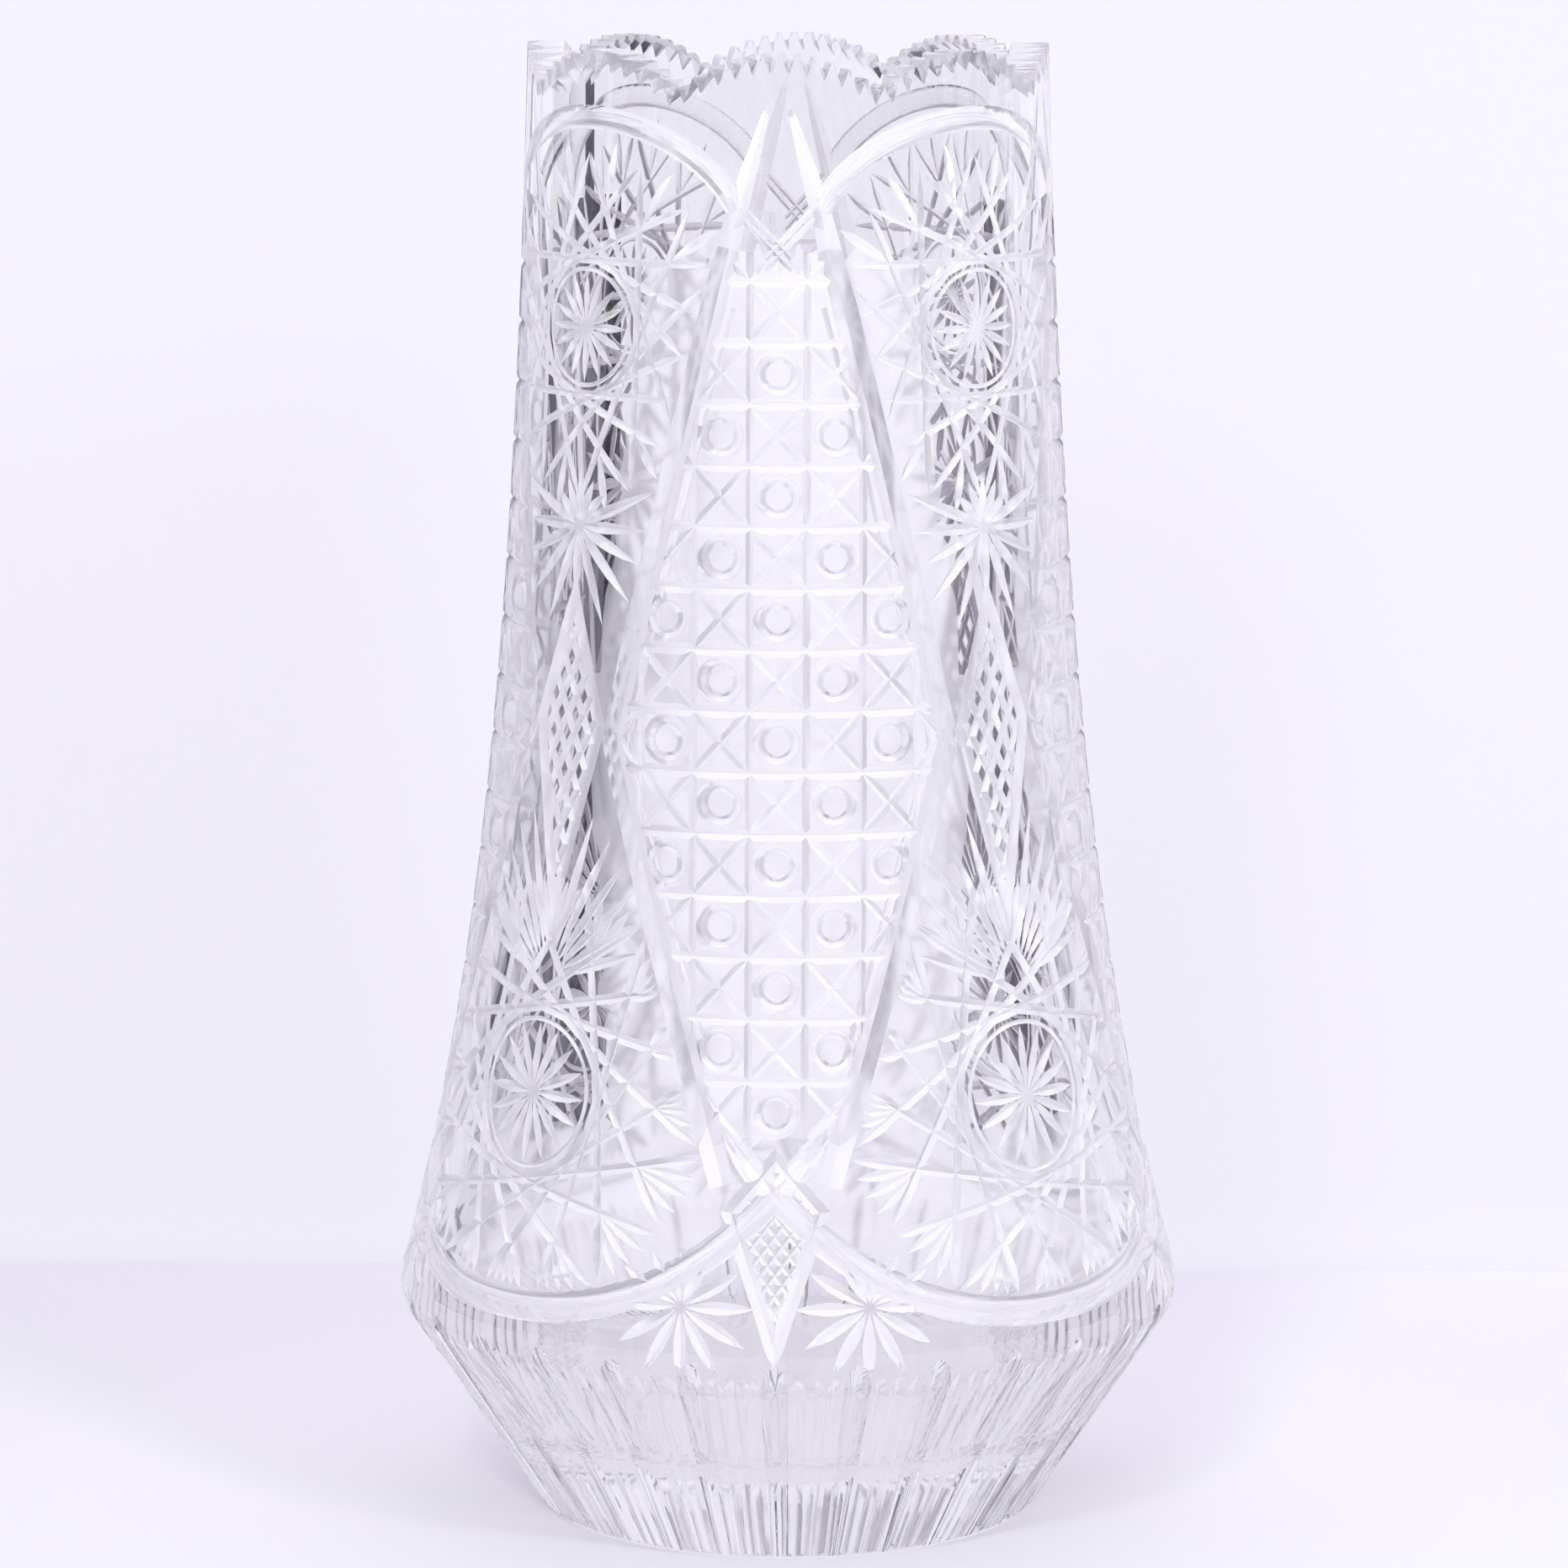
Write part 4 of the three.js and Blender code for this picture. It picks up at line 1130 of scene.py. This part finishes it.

# %% [markdown]
# ## Dark things beside the card
# White all round would hide clear glass. Darker things out of the picture draw it: two curtains far to the
# sides give thin accents in the facets, narrow black flags close behind darken the clear glass of the star
# panels, and the dim room in front shows in the reflections. A pale grey disc on the floor is a painted
# shadow: it stands for the vase's own shadow on the floor under it and greys the glass above it, so that
# white cuts stand out. All of them are seen in the glass alone, and give no light or shadow.

# %% Curtains, flags and the painted shadow under the vase
CLOTHS = {  # azimuths in degrees, distance, heights and colour
    "left_curtain": ((-118, -80), 0.6, (0.0, 0.7), "0e0508"),
    "right_curtain": ((84, 108), 0.6, (0.0, 0.7), "3a3034"),
    "room_in_front": ((-80, 80), 2.2, (0.0, 2.2), "403e44"),
    "left_flag": ((-151, -130), 0.11, (0.06, 0.262), "0c0404"),
    "left_edge": ((-143, -139), 0.11, (0.262, 0.45), "140808"),
    "right_flag": ((134, 147), 0.11, (0.06, 0.262), "2e2224"),
}
CLOTH_COLUMNS = 25
# The floor shade disc is a painted shadow: the vase's own shadow on the floor, seen through the glass alone.
PAINTED_SHADOW_RADIUS = 0.17
PAINTED_SHADOW_HEIGHT = 0.0003
PAINTED_SHADOW_COLOUR = "e0dce8"
PAINTED_SHADOW_SIDES = 48


def seen_in_glass(name, vertices, faces, colour):
    """A piece of the stage in one plain colour that only reflections and refractions show."""
    material, tree = new_material(name + "_cloth")
    plain = add(tree, "Emission", {"Color": linear(colour), "Strength": 1.0})
    add(tree, "OutputMaterial", None, surface=plain)
    piece = new_object(name, vertices, faces, material)
    piece.visible_camera = False
    piece.visible_diffuse = False
    piece.visible_shadow = False


for name, (azimuths, distance, heights, colour) in CLOTHS.items():
    a = np.radians(np.linspace(*azimuths, CLOTH_COLUMNS))
    seen_in_glass(name, *strip(*[about_axis(a, distance, height) for height in heights]), colour)
# Painted shadow: a grey disc that stands for the vase's shadow on the floor, shown only in the glass.
disc = about_axis(full_turn(PAINTED_SHADOW_SIDES), PAINTED_SHADOW_RADIUS, PAINTED_SHADOW_HEIGHT)
seen_in_glass("painted_floor_shadow", disc, [tuple(range(PAINTED_SHADOW_SIDES))], PAINTED_SHADOW_COLOUR)

# %% [markdown]
# ## The camera
# Its place comes from the outline of the vase in the photo: how round the rim and the foot look says how far
# down it looks, and how the sides lean says how far away it stands.

# %% Camera
CAMERA_DISTANCE = 1.3016
CAMERA_HEIGHT = 0.3572
CAMERA_AZIMUTH = math.radians(2.0)
CAMERA_PITCH = math.radians(9.08)
camera_data = bpy.data.cameras.new("camera")
camera_data.sensor_width = 36.0
camera_data.lens = 148.1
camera_data.shift_x = -0.0027
camera_data.clip_end = 50.0
camera = bpy.data.objects.new("camera", camera_data)
bpy.context.scene.collection.objects.link(camera)
camera.location = about_axis(CAMERA_AZIMUTH, CAMERA_DISTANCE, CAMERA_HEIGHT)
camera.rotation_euler = (math.pi / 2 - CAMERA_PITCH, 0, CAMERA_AZIMUTH)
bpy.context.scene.camera = camera
bpy.context.scene.view_settings.view_transform = "Standard"

# %% [markdown]
# Light that is caught between facets turns back in the glass many times. A path tracer stops after four such
# turns unless it is told otherwise, and what it stops becomes black.

# %% Light paths
BOUNCES = 32
for kind in ("max_bounces", "transmission_bounces", "glossy_bounces"):
    setattr(bpy.context.scene.cycles, kind, BOUNCES)
